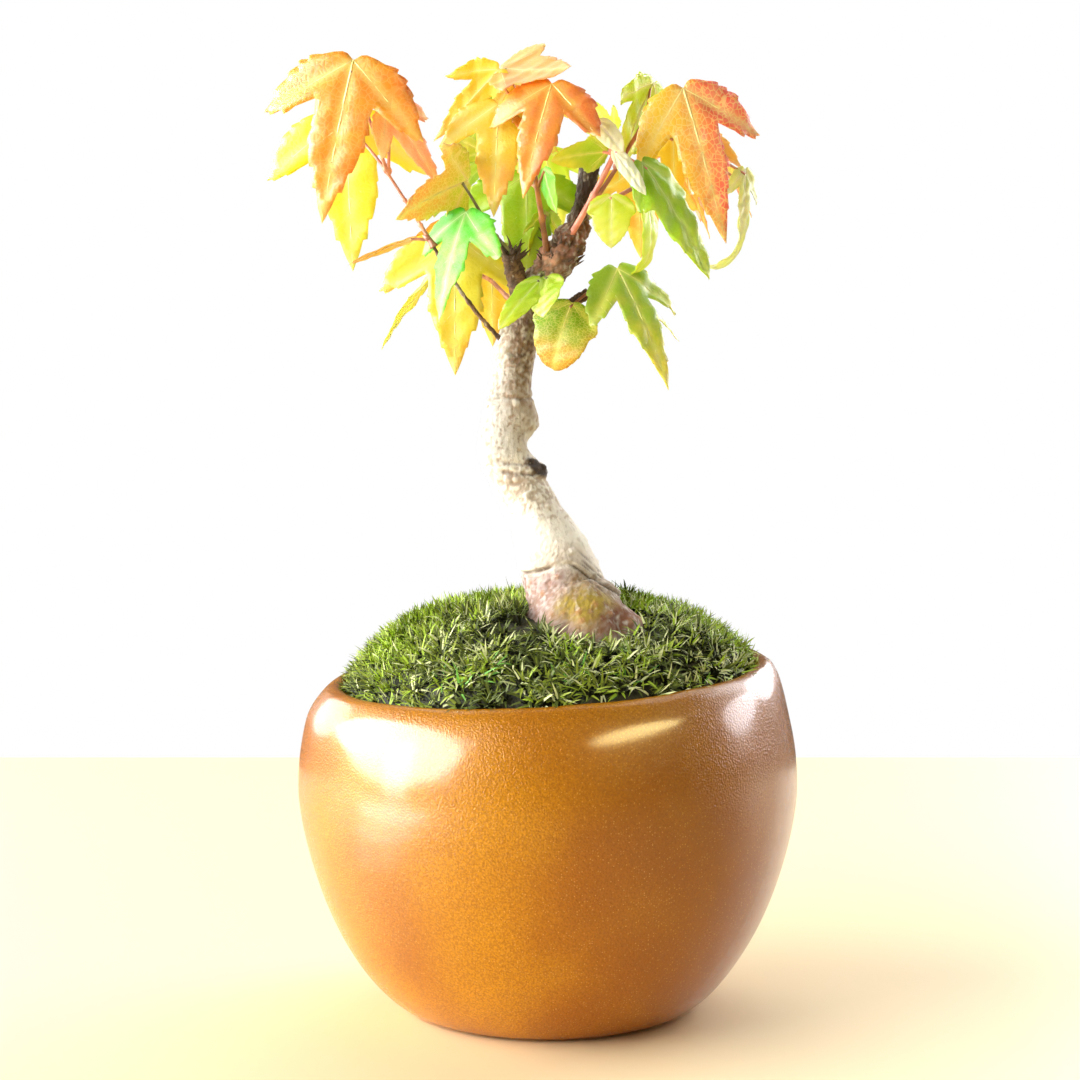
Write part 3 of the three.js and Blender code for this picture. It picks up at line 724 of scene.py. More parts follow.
def scattered(spacing, random):
    """Places on the mound in staggered rows that are shaken loose."""
    row = spacing * ROW_GAP
    steps = int(MOSS.edge / row) + 1
    across, along = np.meshgrid(np.arange(-steps, steps + 1), np.arange(-steps, steps + 1))
    x = ((across + 0.5 * (along % 2)) * spacing).ravel()
    y = (along * row).ravel()
    loose, margin = 0.3, 0.1
    x = x + random.normal(0, loose * spacing, x.size)
    y = y + random.normal(0, loose * spacing, y.size)
    kept = np.hypot(x, y) < MOSS.edge - margin
    return x[kept], y[kept]


def moss_tufts(tuft, is_star, random):
    """Where tufts of one kind root, which way they point, and their stars' ground, lightness with painted
    shade in the hollows, and growth.
    """
    step, sway, sway_size, steepest, slope, sunk, clear = 0.2, 0.7, 7, 1.6, 0.75, 0.5, 0.3
    x, y = scattered(tuft.spacing, random)
    base = np.stack([x, y, moss_height(x, y)], axis=1)
    beside = np.stack([moss_height(x + step, y), moss_height(x, y + step)], axis=1)
    rise = np.clip((beside - base[:, 2:]) / step, -steepest, steepest)
    lean = sway * np.stack([field(base, sway_size, seed) for seed in (1.7, 8.3)], axis=1)
    axis = unit(np.column_stack([lean - slope * rise, np.ones(len(x))]))
    base[:, 2] -= MOSS_DEPTH
    base = base - sunk * axis
    stars = ease(-base[:, 1], *STAR_GROUND.near)
    stars = stars * ease(base[:, 0] - STAR_GROUND.slant * base[:, 1], *STAR_GROUND.right)
    bare_and_shaded = sum(spot(base[:, :2], *hollow) for hollow in HOLLOWS)
    share = (stars if is_star else 1 - 0.92 * stars) * (1 - 0.95 * bare_and_shaded)
    kept = (trunk_clear(base) > clear) & (random.uniform(0, 1, len(base)) < share)
    base, axis, stars, bare_and_shaded = base[kept], axis[kept], stars[kept], bare_and_shaded[kept]
    # Lightness in random patches, with painted shade in the bare hollows.
    light = 0.55 * field(base, 9, 4.2) + 0.3 * random.normal(size=len(base)) - 1.2 * bare_and_shaded
    growth = 1 + 0.2 * field(base, 6, 2.4) + 0.9 * spot(base[:, :2], *SPRIG)
    return base, axis, stars, light, growth


def moss_blades(tuft, is_star, random):
    """Curved pointed blades of one kind of tuft as rows of points, with each blade's tint."""
    rows = moss_tufts(tuft, is_star, random)
    base, axis, stars, patches_and_shade, growth = (np.repeat(row, tuft.blades, axis=0) for row in rows)
    count = len(base)
    flat = unit(np.cross(axis, random.normal(size=(count, 3))))
    splay = np.radians(random.uniform(*tuft.splay, count))[:, None]
    curl = random.uniform(*tuft.curl, count)[:, None]
    length = (random.uniform(*tuft.length, count) * growth)[:, None]
    wide = unit(np.cross(axis, flat)) * random.uniform(*tuft.width, count)[:, None]
    root = base + flat * random.uniform(0, 0.4, count)[:, None]
    spots = []
    stem_end = BLADE_STEPS[1][0]
    for share, breadth in BLADE_STEPS:
        up = (np.sin(splay + curl * share) - np.sin(splay)) / curl
        out = (np.cos(splay) - np.cos(splay + curl * share)) / curl
        stem = axis * tuft.stem * min(1, share / stem_end)
        middle = root + stem + length * (axis * up + flat * out)
        spots.extend([middle - wide * breadth, middle + wide * breadth] if breadth else [middle])
    # Painted light: blades are laid lighter towards the right, where the lamps leave shade.
    light = patches_and_shade + random.normal(0, 0.34, count) + 0.007 * base[:, 0] + 0.22 - 0.4 * stars
    rim = ease(-base[:, 1], *RIM_GROUND)
    straw = random.uniform(0, 1, count) < 0.05 + 0.42 * stars * (1 - 0.6 * rim)
    vivid = random.uniform(0, 1, count) < 0.45 * rim * ease(patches_and_shade, 0.1, 0.5)
    bright_from, olive_from, straw_from = 0.3, -0.25, -0.35
    kind = np.where(light > bright_from, BRIGHT, np.where(light > olive_from, OLIVE, DEEP))
    kind = np.where(straw & (light > straw_from), STRAW, np.where(vivid, VIVID, kind))
    return np.stack(spots, axis=1), kind


def make_moss():
    """Fine soft tufts on the left and behind, and open stars of broader, paler blades at the front."""
    random = np.random.default_rng(5)
    tufts = [moss_blades(FINE_TUFT, False, random), moss_blades(STAR_TUFT, True, random)]
    every = np.concatenate([points for points, _ in tufts]).reshape(-1, 3)
    kind = np.concatenate([kinds for _, kinds in tufts])
    first = np.arange(len(kind))[:, None] * BLADE_POINTS
    roots = first + np.array([0, 1, 3, 2])
    uppers = first + np.array([2, 3, 5, 4])
    tips = first + np.array([4, 5, 6])
    for index, name in enumerate(MOSS_TONES):
        mine = kind == index
        blocks = [uppers[mine], tips[mine]] if index else [roots]
        used = np.unique(np.concatenate([block.ravel() for block in blocks]))
        renumber = np.zeros(len(every), int)
        renumber[used] = np.arange(len(used))
        pile = Pile()
        pile.add(every[used], [renumber[block] for block in blocks])
        skin = plain(name, MOSS_TONES[name], 0.62, Specular_IOR_Level=0.15)
        dress(pile.make(name, [skin]), "moss", "moss")


# Trunk and boughs


def turned_to(tangents):
    """For each tangent, the matrix that turns the vertical onto it by the shortest way, as the solids do."""
    x, y, z = tangents.T
    scale = 1 / (1 + y)
    rows = [
        [1 - x * x * scale, x, -x * z * scale],
        [-x, y, -z],
        [-x * z * scale, z, 1 - z * z * scale],
    ]
    return np.moveaxis(np.array(rows), 2, 0)


# The collar, where the trunk's sleeve of bark ends over the root flare: its height at the front, and how far
# it drops on the right and on the left.
COLLAR = Named(height=82.6, right=6, left=1.7)
# The deep crease below the collar on the right: height over the collar, depth and width.
CREASE = Named(over=-1.6, depth=1.4, width=1.5)
# Wrinkles along the collar: height over it, depth and width.
FOLDS = [(-1.7, 0.3, 0.35), (0.9, 0.3, 0.25), (1.8, 0.35, 0.3), (3.2, 0.2, 0.3)]
# Wrinkles round the trunk: height, depth, width and how much the line wanders.
WRINKLES = [
    (88, 0.25, 0.4, 1),
    (96.4, 0.35, 0.3, 0.9),
    (97.8, 0.5, 0.35, 0.8),
    (99.6, 0.45, 0.4, 0.8),
    (105, 0.2, 0.35, 0.8),
    (110.9, 0.35, 0.3, 0.3),
    (112.4, 0.3, 0.3, 0.3),
    (118.5, 0.3, 0.35, 0.8),
    (124, 0.4, 0.4, 0.8),
    (135, 0.5, 0.5, 1.2),
    (139.5, 0.6, 0.5, 1.2),
    (142.5, 0.5, 0.4, 1),
]
# How much of the bark is flecked with brown at heights up the trunk.
FLECKED = np.array([
    (70, 0.66),
    (79, 0.6),
    (83, -0.1),
    (87.5, -0.2),
    (91, 0.45),
    (97, 0.72),
    (102, 0.32),
    (109, 0.32),
    (114, 0.52),
    (124, 0.76),
])
KNUCKLE = Named(height=138.5, reach=5)  # the knobbly swelling that the stems leave from
# How much thinner the leader above the knuckle is than its solid, and the heights over which that sets in.
LEADER = Named(slim=0.9, start=(139, 144))
# The dark scar on the right: its middle, its axes (along its slant, inwards, over it) and its reach on each.
KNOT = np.array([-2.2, -5.6, 98.8])
KNOT_AXES = np.array([(0.8, 0, -0.6), (0, 1, 0), (0.6, 0, 0.8)])
KNOT_SIZE = np.array([3.2, 3.4, 1.1])
# Places on the trunk's front as x and height, with their reach: the peeled patch by the stub, and the stains
# of ochre and rust on the root flare.
PEELED = ((-0.4, 135.2), 2.8)
OCHRE_STAIN = ((6, 75.6), (5, 3.2))
RUST_STAIN = ((12.4, 73.6), (3, 2))
# Heights over which each look of the bark sets in. Tan and umber are painted shade on the trunk's right side,
# and dim is where the painted light gives way to painted shade up the trunk.
BARK_SPANS = dict(
    brown=(116, 134),
    grey=(98, 103),
    less_grey=(113, 118),
    tan=(99, 114),
    umber=(110, 119),
    dim=(90, 112),
    soot=(141, 146),
    rust=(76, 70),
)
SLEEVE = Named(height=86, width=4)  # the stretch of bark over the collar that the painted light makes palest


def trunk_marks(points, turn):
    """The relief of the trunk at points of its smooth skin, and the marks that its colours follow, painted
    shade on its right side and in its grooves among them.
    """
    height = points[:, 2]
    lumps = field(points, 6) + 0.5 * field(points, 2.6, 5.0)
    scaly = field(points, 0.85, 3.3) + 0.7 * field(points, 0.45, 9.1)
    flecks = ease(scaly + 1.3 * (np.interp(height, *FLECKED.T) - 0.5), 0, 0.35)
    wart_near, _ = cells(points, 3.4)
    warts = ease(wart_near, 0.28, 0.1)
    relief = 0.24 * lumps - 0.2 * flecks + 0.28 * warts + 0.09 * scaly
    right, left = (np.maximum(0, side * np.cos(turn)) for side in (1, -1))
    # Painted shade on the trunk's right side, turned away from the light.
    shady = np.clip(1.3 * np.cos(turn + 0.45), 0, 1)
    drop = COLLAR.right * right**1.5 + COLLAR.left * left**2
    upright = points * (1, 1, 0.2)
    over = height - COLLAR.height + drop + 0.5 * field(upright, 4, 6.6)
    relief += 0.3 * ease(over, -0.4, 0.4) * np.exp(-np.maximum(0, over) / 4)
    broken = ease(field(points, 2.2, 31.7) + 0.6 * right, -0.6, 0.1)
    # Painted shade: the collar's edge, the folds, the crease, the wrinkles and the hollows of the knuckle are
    # laid darker, where shade falls in them.
    groove_shade = 0.85 * broken * bell(over, -0.25, 0.3)
    relief -= 0.6 * groove_shade
    for level, depth, width in FOLDS:
        shown = ease(1.4 * right + 0.6 * field(points, 3, level + 40) - 0.3, 0, 0.5)
        shown = shown * ease(field(points, 2.4, level + 70), -0.3, 0.25)
        groove = bell(over, level, width) * shown
        relief -= depth * groove
        groove_shade = np.maximum(groove_shade, groove * depth * 2.8)
    crease = right**1.5 * bell(over, CREASE.over, CREASE.width)
    relief -= CREASE.depth * crease
    groove_shade = np.maximum(groove_shade, 0.55 * crease)
    for level, depth, width, wander in WRINKLES:
        line = level + wander * field(upright, 5, level)
        groove = bell(height, line, width) * ease(field(points, 6, level * 2), -0.2, 0.25)
        relief -= depth * groove
        groove_shade = np.maximum(groove_shade, groove * depth * 1.1)
    knuckle = bell(height, KNUCKLE.height, KNUCKLE.reach)
    knobs = field(points, 1.7, 12.5)
    relief += knuckle * (1.1 * knobs + 0.7 * field(points, 0.8, 15.5) - 1)
    groove_shade = np.maximum(groove_shade, knuckle * ease(-knobs, 0.15, 0.5))
    knot = ease(spot((points - KNOT) @ KNOT_AXES.T, 0, KNOT_SIZE), 0.25, 0.6)
    relief += 0.6 * knot - LEADER.slim * ease(height, *LEADER.start)
    return relief, (over, shady, flecks, warts, groove_shade, knuckle, knot)


def painted(colours, layers):
    """Colours at points with layers of paint over them. A layer has its share at each point and a colour."""
    for share, other in layers:
        share = np.clip(share, 0, 1)[:, None]
        colours = colours * (1 - share) + other * share
    return colours


def bark_colours(points, over, shady, flecks, warts, groove_shade, knuckle, knot):
    """Pale bark flecked with brown that darkens to the leader and is rosy and ochre at the root flare, with
    painted shade on its right side, in its grooves and up the trunk, and painted light low down.
    """
    height, front = points[:, 2], points[:, [0, 2]]
    patches = field(points, 5, 7.7)
    grain = field(points, 0.8, 21.3)

    def begun(look, wave=0):
        return ease(height + wave * patches, *BARK_SPANS[look])

    upper = begun("brown", 4)
    flare = 1 - ease(over + 1.2 * patches, -2.2, 0.5)
    ashen = begun("grey") * (1 - begun("less_grey")) * (1 - shady)
    rosy = ease(points[:, 0] + 3 * patches, 8, 0)
    brown = painted(np.tile(TAN, (len(points), 1)), [(upper, UMBER), (0.8 * flare, RUST)])
    scars = ease(field(points, 1.4, 2.2), 0.25, 0.45) * (0.6 - 0.45 * rosy)
    scars += spot(front, *RUST_STAIN) * (1.3 + 1.2 * grain)
    hem = ease(over, -0.5, 0.2) * np.exp(-np.maximum(0, over) / 2.5)
    layers = [
        (0.25 * ease(patches, -0.1, 0.5), TAN),
        (0.6 * ashen, ASH),
        # Painted shade on the right side: tan, then umber higher up.
        (0.7 * shady * begun("tan") * (0.8 + grain), TAN),
        (shady * begun("umber") * (0.6 + grain + 0.5 * patches), UMBER),
        (flare * (0.35 + 0.45 * rosy + 0.5 * grain), ROSE),
        (flare * (1 - rosy) * (0.45 + 0.6 * grain), TAN),
        ((0.55 + 0.3 * upper) * flecks, brown),
        (0.4 * warts * (1 - flare), CREAM),
        (1.7 * spot(front, *OCHRE_STAIN) * flare * (0.8 + 0.8 * patches + 0.5 * grain), OCHRE),
        (scars * flare, RUST),
        (0.6 * flare * begun("rust") * (0.8 + grain), RUST),
        (0.7 * warts * flare, WART),
        (hem * (0.22 + 0.5 * grain), TAN),
    ]
    colours = painted(np.tile(CREAM, (len(points), 1)), layers)
    # Painted light and shade: the bark is painted brighter low down and brightest over the collar's sleeve,
    # and darker up the trunk, on the root flare and along the hem.
    sleeve = bell(height, SLEEVE.height, SLEEVE.width) * (1 - flare)
    sunlit = 1.12 - 0.34 * begun("dim") + 0.08 * sleeve - 0.12 * flare - 0.1 * hem
    layers = [
        (0.8 * knuckle * (0.6 + 1.2 * grain), RUST),
        (spot(front, *PEELED) * (0.9 + grain) * (points[:, 1] < 0), SALMON),
        (0.92 * begun("soot", 2), SOOT),
        # painted shade in the grooves
        (groove_shade, UMBER),
        (knot, SOOT),
    ]
    return painted(np.clip(colours * sunlit[:, None], 0, 1), layers)


def limb(name, skin, counts, points, tip, colours, pairs):
    """A limb made of rings of points and a tip that closes it, with its colours and its map for baking."""
    colours = np.column_stack([colours, np.ones(len(colours))])
    pile = Pile()
    faces = [ring_faces(*counts), cap_faces(*counts, len(points))]
    pile.add(np.vstack([points, tip]), faces, colours=np.vstack([colours, colours[-1]]), OFBake=pairs)
    return pile.make(name, [skin])


def make_trunk():
    rings, sides = 460, 128
    shares = np.linspace(0.03, 1, rings)
    share, bearing = np.meshgrid(shares, ring_turns(sides), indexing="ij")
    delta = 1e-4
    tangents = unit(trunk_line(shares + delta) - trunk_line(shares - delta))
    flat = np.stack([np.cos(bearing), np.zeros_like(bearing), -np.sin(bearing)], axis=2)
    outward = np.einsum("rij,rsj->rsi", turned_to(tangents), flat)
    smooth = trunk_line(shares)[:, None] + outward * trunk_radius(share, bearing)[..., None]
    smooth = smooth.reshape(-1, 3)
    relief, marks = trunk_marks(smooth, bearing.ravel())
    points = smooth + outward.reshape(-1, 3) * relief[:, None]
    top = points[-(sides + 1) :].mean(axis=0) + tangents[-1] * 0.8
    pairs = np.stack([bearing / (2 * math.pi), share], axis=2).reshape(-1, 2) * 0.98 + 0.01
    pairs = np.vstack([pairs, [(0.5, 0.995)]])
    colours = bark_colours(smooth, *marks)
    trunk = limb("bark_trunk", bark("bark", 0.22), (rings, sides), points, top, colours, pairs)
    dress(trunk, "bark", "trunk")


bough_lines = {}


def make_bough(name):
    at, tip, bow, root, end = BOUGHS[name]
    line = bowed(trunk_line([at])[0], tip, bow)
    bough_lines[name] = line
    rings, sides, nodes = 90, 28, 5
    shares = np.linspace(0, 1, rings)
    spine = line(shares)
    across = spokes(spine, sides)
    swell = 0.12 * np.exp(-(((shares * nodes % 1) - 0.5) ** 2) / 0.01)
    radii = (root + (end - root) * shares) * (SLIM.get(name, 1) + swell)
    points = (spine[:, None] + across * radii[:, None, None]).reshape(-1, 3)
    _, edge = cells(points, 0.9)
    relief = 0.12 * field(points, 1.4) + 0.14 * ease(edge, 0.02, 0.3) - 0.1
    points = points + across.reshape(-1, 3) * (relief * min(1, root / 1.5))[:, None]
    layers = [
        (ease(field(points, 2.2), 0, 0.5) * 0.6, TAN),
        (0.7 * (1 - ease(edge, 0.02, 0.2)), SOOT),
    ]
    colours = painted(np.tile(UMBER, (len(points), 1)), layers)
    pairs = np.stack(np.meshgrid(np.linspace(0.02, 0.98, sides + 1), np.linspace(0.02, 0.95, rings)), axis=2)
    pairs = np.vstack([pairs.reshape(-1, 2), [(0.5, 0.99)]])
    skin = bark("bark_" + name, 0.5)
    dress(limb("bark_" + name, skin, (rings, sides), points, spine[-1:], colours, pairs), "twig", name)


# Splinters: how many, their length, how far from the middle they start, and the lowest and highest start.
STUB_SPLINTERS = (22, 3.4, 1.3, -1.5, 0.5)
KNUCKLE_SPLINTERS = (48, 3, 3, -3.5, 3)
KNUCKLE_SHARE = 0.84  # where the knuckle is along the trunk


def make_splinters():
    """Frayed dark fibres and bud scales at the pruned stub and where the stems leave the leader."""
    random = np.random.default_rng(9)
    pile = Pile()
    shares = np.linspace(0, 1, 6)
    stub = bough_lines["pruned_stub"]([1.0])[0]
    knuckle = trunk_line([KNUCKLE_SHARE])[0]
    for middle, splinters in ((stub, STUB_SPLINTERS), (knuckle, KNUCKLE_SPLINTERS)):
        count, reach, spread, low, high = splinters
        for _ in range(count):
            bearing = random.uniform(0, 360)
            out = heading(bearing, random.uniform(20, 75))
            aside = heading(bearing, 0) * spread * random.uniform(0.55, 1)
            start = middle + aside + (0, 0, random.uniform(low, high))
            length = reach * random.uniform(0.5, 1)
            line = bowed(start, start + out * length, random.normal(0, 0.3, 3))
            tube(pile, line(shares), random.uniform(0.25, 0.5) * (1.05 - shares) ** 0.8, 5)
    fibre = mottled("fibre", 0.85, (800, 3), (44, 30, 24), (104, 76, 56))
    dress(pile.make("splinters", [fibre]), "twig")


# Foliage


def toothed(edge, teeth, first, last, depth, random):
    """Points along an edge of the outline. Teeth that point onward stand between two shares of it."""
    before = np.linspace(0, first, 6)[:-1]
    after = np.linspace(last, 1, 7)[:-1]
    starts = np.linspace(first, last, teeth + 1)
    inside, tooth = np.array([0, 0.3, 0.62, 0.9]), np.array([0, 0.4, 0.8, 1])
    shares = np.concatenate([before, (starts[:-1, None] + np.diff(starts)[:, None] * inside).ravel(), after])
    rise = np.outer(random.uniform(0.4, 1.3, teeth), tooth).ravel() * depth
    lift = np.concatenate([np.zeros(len(before)), rise, np.zeros(len(after))])
    points = through(edge, shares)
    step = 1e-3
    way = unit(through(edge, shares + step) - through(edge, shares - step))
    outward = np.column_stack([-way[:, 1], way[:, 0]])
    return points + outward * lift[:, None]


def grown(edge, lobes):
    """An edge of a leaf whose side lobes have a share of their full size."""
    return lobes * edge[0] + (1 - lobes) * edge[1]


def leaf_outline(lobes, random):
    """One leaf's outline as pairs along and across, in shares of its length, with teeth of its own."""
    halves = []
    for side in (1, -1):
        tooth = LEAF.tooth * random.uniform(0.8, 1.2) * (0.5 + 0.5 * lobes)
        lower = toothed(grown(LOWER_EDGE, lobes), 4, 0.42, 0.9, tooth, random)
        notch = toothed(grown(NOTCH_EDGE, lobes) * (1, -1), 2, 0.4, 0.9, tooth, random)[::-1] * (1, -1)
        middle = toothed(grown(MIDDLE_EDGE, lobes), 4, 0.12, 0.7, tooth, random)
        half = np.vstack([lower, notch, middle])
        half[:, 1] *= side * random.uniform(0.95, 1.05)
        halves.append(half)
    right, left = halves
    return np.vstack([right, [(1, 0)], left[:0:-1]])


def leaf_net(lobes, random):
    """Points and triangles that fill a leaf's outline."""
    rim = leaf_outline(lobes, random)
    step = LEAF.grid
    columns, rows = np.meshgrid(np.arange(-2, int(1 / step) + 2), np.arange(-20, 21))
    along = (columns + 0.5 * (rows % 2)).ravel() * step
    across = rows.ravel() * step * ROW_GAP
    grid = np.column_stack([along, across])[(along > -0.05) & (np.abs(across) < 0.56)]
    apart = np.linalg.norm(grid[:, None] - rim[None], axis=2).min(axis=1)
    grid = grid[apart > 0.6 * step]
    spots = [Vector(spot) for spot in np.vstack([rim, grid])]
    count = len(rim)
    ring = [(i, (i + 1) % count) for i in range(count)]
    found = delaunay_2d_cdt(spots, ring, [], 1, 1e-6)
    return np.array([tuple(spot) for spot in found[0]]), np.array(found[2])


class Blade:
    """Where a leaf's spots lie in space: it arches along its midrib, sags to its sides and may curl."""

    def __init__(self, base, facing, hang, roll, length, width, lobes=1, curl=0, phase=0):
        along = heading(facing, -hang)
        turn = Matrix.Rotation(math.radians(roll), 3, Vector(along))
        across = np.array(turn @ Vector(heading(facing + 90, 0)))
        self.base, self.length, self.width, self.lobes, self.phase = base, length, width, lobes, phase
        self.axes = np.array([along, across, np.cross(along, across)])
        self.side_vein = grown(SIDE_VEIN, lobes)
        step = 0.01
        self.shares = np.arange(-0.1, 1.1, step)
        self.angles = 2 * LEAF.arch * self.shares + curl * np.maximum(0, self.shares) ** 3
        self.run = np.cumsum(np.cos(self.angles)) * step
        self.drop = np.cumsum(np.sin(self.angles)) * step
        self.run -= np.interp(0, self.shares, self.run)
        self.drop -= np.interp(0, self.shares, self.drop)

    def near_veins(self, spots):
        """How far each spot is from the three main veins."""
        out = np.abs(spots[:, 1])
        reach = math.hypot(*self.side_vein)
        way = self.side_vein / reach
        run = spots[:, 0] * way[0] + out * way[1]
        aside = np.abs(spots[:, 0] * way[1] - out * way[0])
        return np.minimum(out, np.where(run > reach, 1, aside))

    def at(self, spots, lift=0.0):
        """Points for spots of the blade, lifted off its middle by a share of its length."""
        u, v = spots[:, 0], spots[:, 1]
        puff = LEAF_SKIN.puff * ease(self.near_veins(spots), 0, LEAF_SKIN.vein)
        ripple = LEAF_SKIN.ripple * np.abs(v) * np.sin(u * 17 + v * 9 + self.phase)
        ripple += LEAF_SKIN.crinkle * np.sin(u * 31 + v * 23 + self.phase)
        rise = -LEAF.sag * v**2 + puff + ripple * ease(np.hypot(u, v), 0.05, 0.4) + lift
        angle = np.interp(u, self.shares, self.angles)
        run = np.interp(u, self.shares, self.run) + np.sin(angle) * rise
        drop = np.interp(u, self.shares, self.drop) - np.cos(angle) * rise
        return self.base + np.column_stack([run, v * self.width, -drop]) @ self.axes * self.length


VEIN_RADIUS = 0.0095  # of a midrib at its base, as a share of the leaf's length
# Veins that branch off: where each starts along the midrib or a side vein, and its reach.
MIDRIB_BRANCHES = ((0.3, 0.15), (0.42, 0.16), (0.53, 0.14), (0.63, 0.11), (0.73, 0.08), (0.82, 0.05))
SIDE_BRANCHES = ((0.35, 0.12), (0.52, 0.12), (0.68, 0.09), (0.82, 0.05))


def vein_lines(side_vein):
    """Starts and ends of a leaf's veins on the blade, with their size: three main ones and their branches."""
    lines = [((0, 0), (0.97, 0), 1.0)]
    for side in (1, -1):
        tip = side_vein * (1, side)
        lines.append(((0, 0), tip, 0.75))
        for start, reach in MIDRIB_BRANCHES:
            lines.append(((start, 0), (start + reach * 0.95, side * reach * 0.85), 0.42))
        for share, reach in SIDE_BRANCHES:
            start = tip * share
            for run, out in ((-0.1, 0.95), (1, 0.05)):
                lines.append((start, start + (run * reach, side * reach * out), 0.38))
    return lines


def add_veins(pile, blade_at, kind):
    for start, end, size in vein_lines(blade_at.side_vein):
        shares = np.linspace(0, 1, 12 if size > 0.7 else 6)
        start, end = np.array(start), np.array(end)
        spots = start + (end - start) * shares[:, None]
        radii = blade_at.length * VEIN_RADIUS * size * (1 - 0.72 * shares)
        tube(pile, blade_at.at(spots), radii, 5, kind)


def add_leaf(pile, blade_at, tile, tiles, random, kind):
    """A thin closed blade. Its two faces lie in their own tiles of the map that patterns are kept in."""
    spots, triangles = leaf_net(blade_at.lobes, random)
    count = len(spots)
    half = LEAF.thickness / 2
    edges = np.concatenate([triangles[:, pair] for pair in ([0, 1], [1, 2], [2, 0])])
    single, uses = np.unique(np.sort(edges, axis=1), axis=0, return_counts=True)
    lone = {tuple(pair) for pair in single[uses == 1]}
    rim = [(a, b) for t in triangles for a, b in zip(t, np.roll(t, -1)) if tuple(sorted((a, b))) in lone]
    rim = np.array(rim)
    sides = np.stack([rim[:, 1], rim[:, 0], rim[:, 0] + count, rim[:, 1] + count], axis=1)
    points = np.vstack([blade_at.at(spots, half), blade_at.at(spots, -half)])
    own = np.vstack([spots, spots]) + (0, 0.5)
    across = math.ceil(math.sqrt(tiles))
    local = np.column_stack([(spots[:, 0] + 0.08) / 1.12, (spots[:, 1] + 0.6) / 1.2])
    kept = [(local + (place % across, place // across)) / across for place in (tile, tile + 1)]
    faces = [triangles, triangles[:, ::-1] + count, sides]
    pile.add(points, faces, kind, leaf=own, OFBake=np.vstack(kept))


def stem_line(start, tip, bow):
    if isinstance(start, str):
        return bowed(bough_lines[start]([STEM_AT])[0], tip, bow)
    return bowed(trunk_line([start])[0], tip, bow)


def deal_leaves(tip, seed, tints):
    """A far spray's leaves in opposite pairs, by the rule and the draws of the solids."""
    draw = seeded(seed)
    outward = math.degrees(math.atan2(tip[1], tip[0]))

    def vary(value):
        return value * (1 + FAR_LEAF.vary * (2 * draw() - 1))

    leaves = []
    for pair, at in enumerate(FAR_LEAF.places):
        for side in (-1, 1):
            bearing = outward + side * vary(FAR_LEAF.spread[pair])
            stalk = (bearing, vary(FAR_LEAF.rise[pair]), vary(FAR_LEAF.stalk))
            blade_row = (bearing, vary(FAR_LEAF.hang), 0, vary(FAR_LEAF.length), 1)
            leaves.append((at, stalk, blade_row, tints[len(leaves)]))
    return leaves


def make_spray(name, start, tip, bow, stalk_tone, leaves, slot):
    """One spray: its stem and stalks, its blades and their veins."""
    random = np.random.default_rng(len(name) * 31 + len(leaves))
    line = stem_line(start, tip, bow)
    wood, blades, veins = Pile(), Pile(), Pile()
    shares = np.linspace(0, 1, 40)
    nodes = 0.25 * np.exp(-(((shares * 3 % 1) - 0.95) ** 2) / 0.004) + 0.6 * np.exp(-shares / 0.1)
    radii = (STEM.root + (STEM.tip - STEM.root) * shares) * (SLIM.get(name, SLIM_REST) + nodes)
    tube(wood, line(shares), radii, 12)
    tints = sorted({row[3] for row in leaves})
    for number, (at, (bearing, rise, reach), blade_row, tint) in enumerate(leaves):
        origin = line([at])[0]
        base = origin + heading(bearing, rise) * reach
        blade_at = Blade(base, *blade_row, phase=random.uniform(0, 6.28))
        end = base + blade_at.axes[0] * LEAF.root * blade_at.length
        lift = (0, 0, STALK.lift * np.linalg.norm(base - origin))
        ways = np.linspace(0, 1, 22)
        swell = 1 + 0.55 * np.exp(-(ways / 0.06)) + 0.25 * np.exp(-((1 - ways) / 0.05))
        thin = (STALK.root + (STALK.tip - STALK.root) * ways) * STALK.slim * swell
        tube(wood, bowed(origin, end, lift)(ways), thin, 10)
        bud_end = origin + heading(bearing, rise + BUD.tilt) * BUD.length
        bud = bowed(origin, bud_end, (0, 0, 0.1))
        grow = np.linspace(0, 1, 8)
        tube(wood, bud(grow), BUD.radius * np.sin(math.pi * (0.25 + 0.73 * grow)), 8)
        kind = tints.index(tint)
        add_leaf(blades, blade_at, 2 * number, 2 * len(leaves), random, kind)
        add_veins(veins, blade_at, kind)
    dress(wood.make(name + "_stalks", [STALK_SKINS[stalk_tone]]), "twig", name)
    dress(blades.make(name + "_leaves", [LEAF_SKINS[tint] for tint in tints]), slot, name)
    dress(veins.make(name + "_veins", [VEIN_SKINS[tint] for tint in tints]), slot, name)


STALK_SKINS = {name: stalk_skin(name) for name in STALK_TONES}
LEAF_SKINS = {name: blade(name) for name in TINTS}
VEIN_SKINS = {name: plain("vein_" + name, tone(*TINTS[name][2]), 0.5) for name in TINTS}
SLOTS = {row["node"]: row["material_slot"] for row in frame["record"]["subparts"]}

make_pot()
for soil_slot in frame["nodes"]["soil"].material_slots:
    soil_slot.material = mottled(
        "soil", 0.95, (700, 4), (58, 42, 30), (104, 78, 56), relief=(900, 3, 0.8, 0.0006)
    )
make_mound()
make_moss()
make_trunk()
for bough in BOUGHS:
    make_bough(bough)
make_splinters()
for name, (start, tip, bow, stalk_tone, leaves) in SPRAYS.items():
    make_spray(name, start, tip, bow, stalk_tone, leaves, SLOTS[name])
for name, (start, tip, bow, stalk_tone, seed, tints) in FAR_SPRAYS.items():
    make_spray(name, start, tip, bow, stalk_tone, deal_leaves(tip, seed, tints), SLOTS[name])

# Floor, light and camera


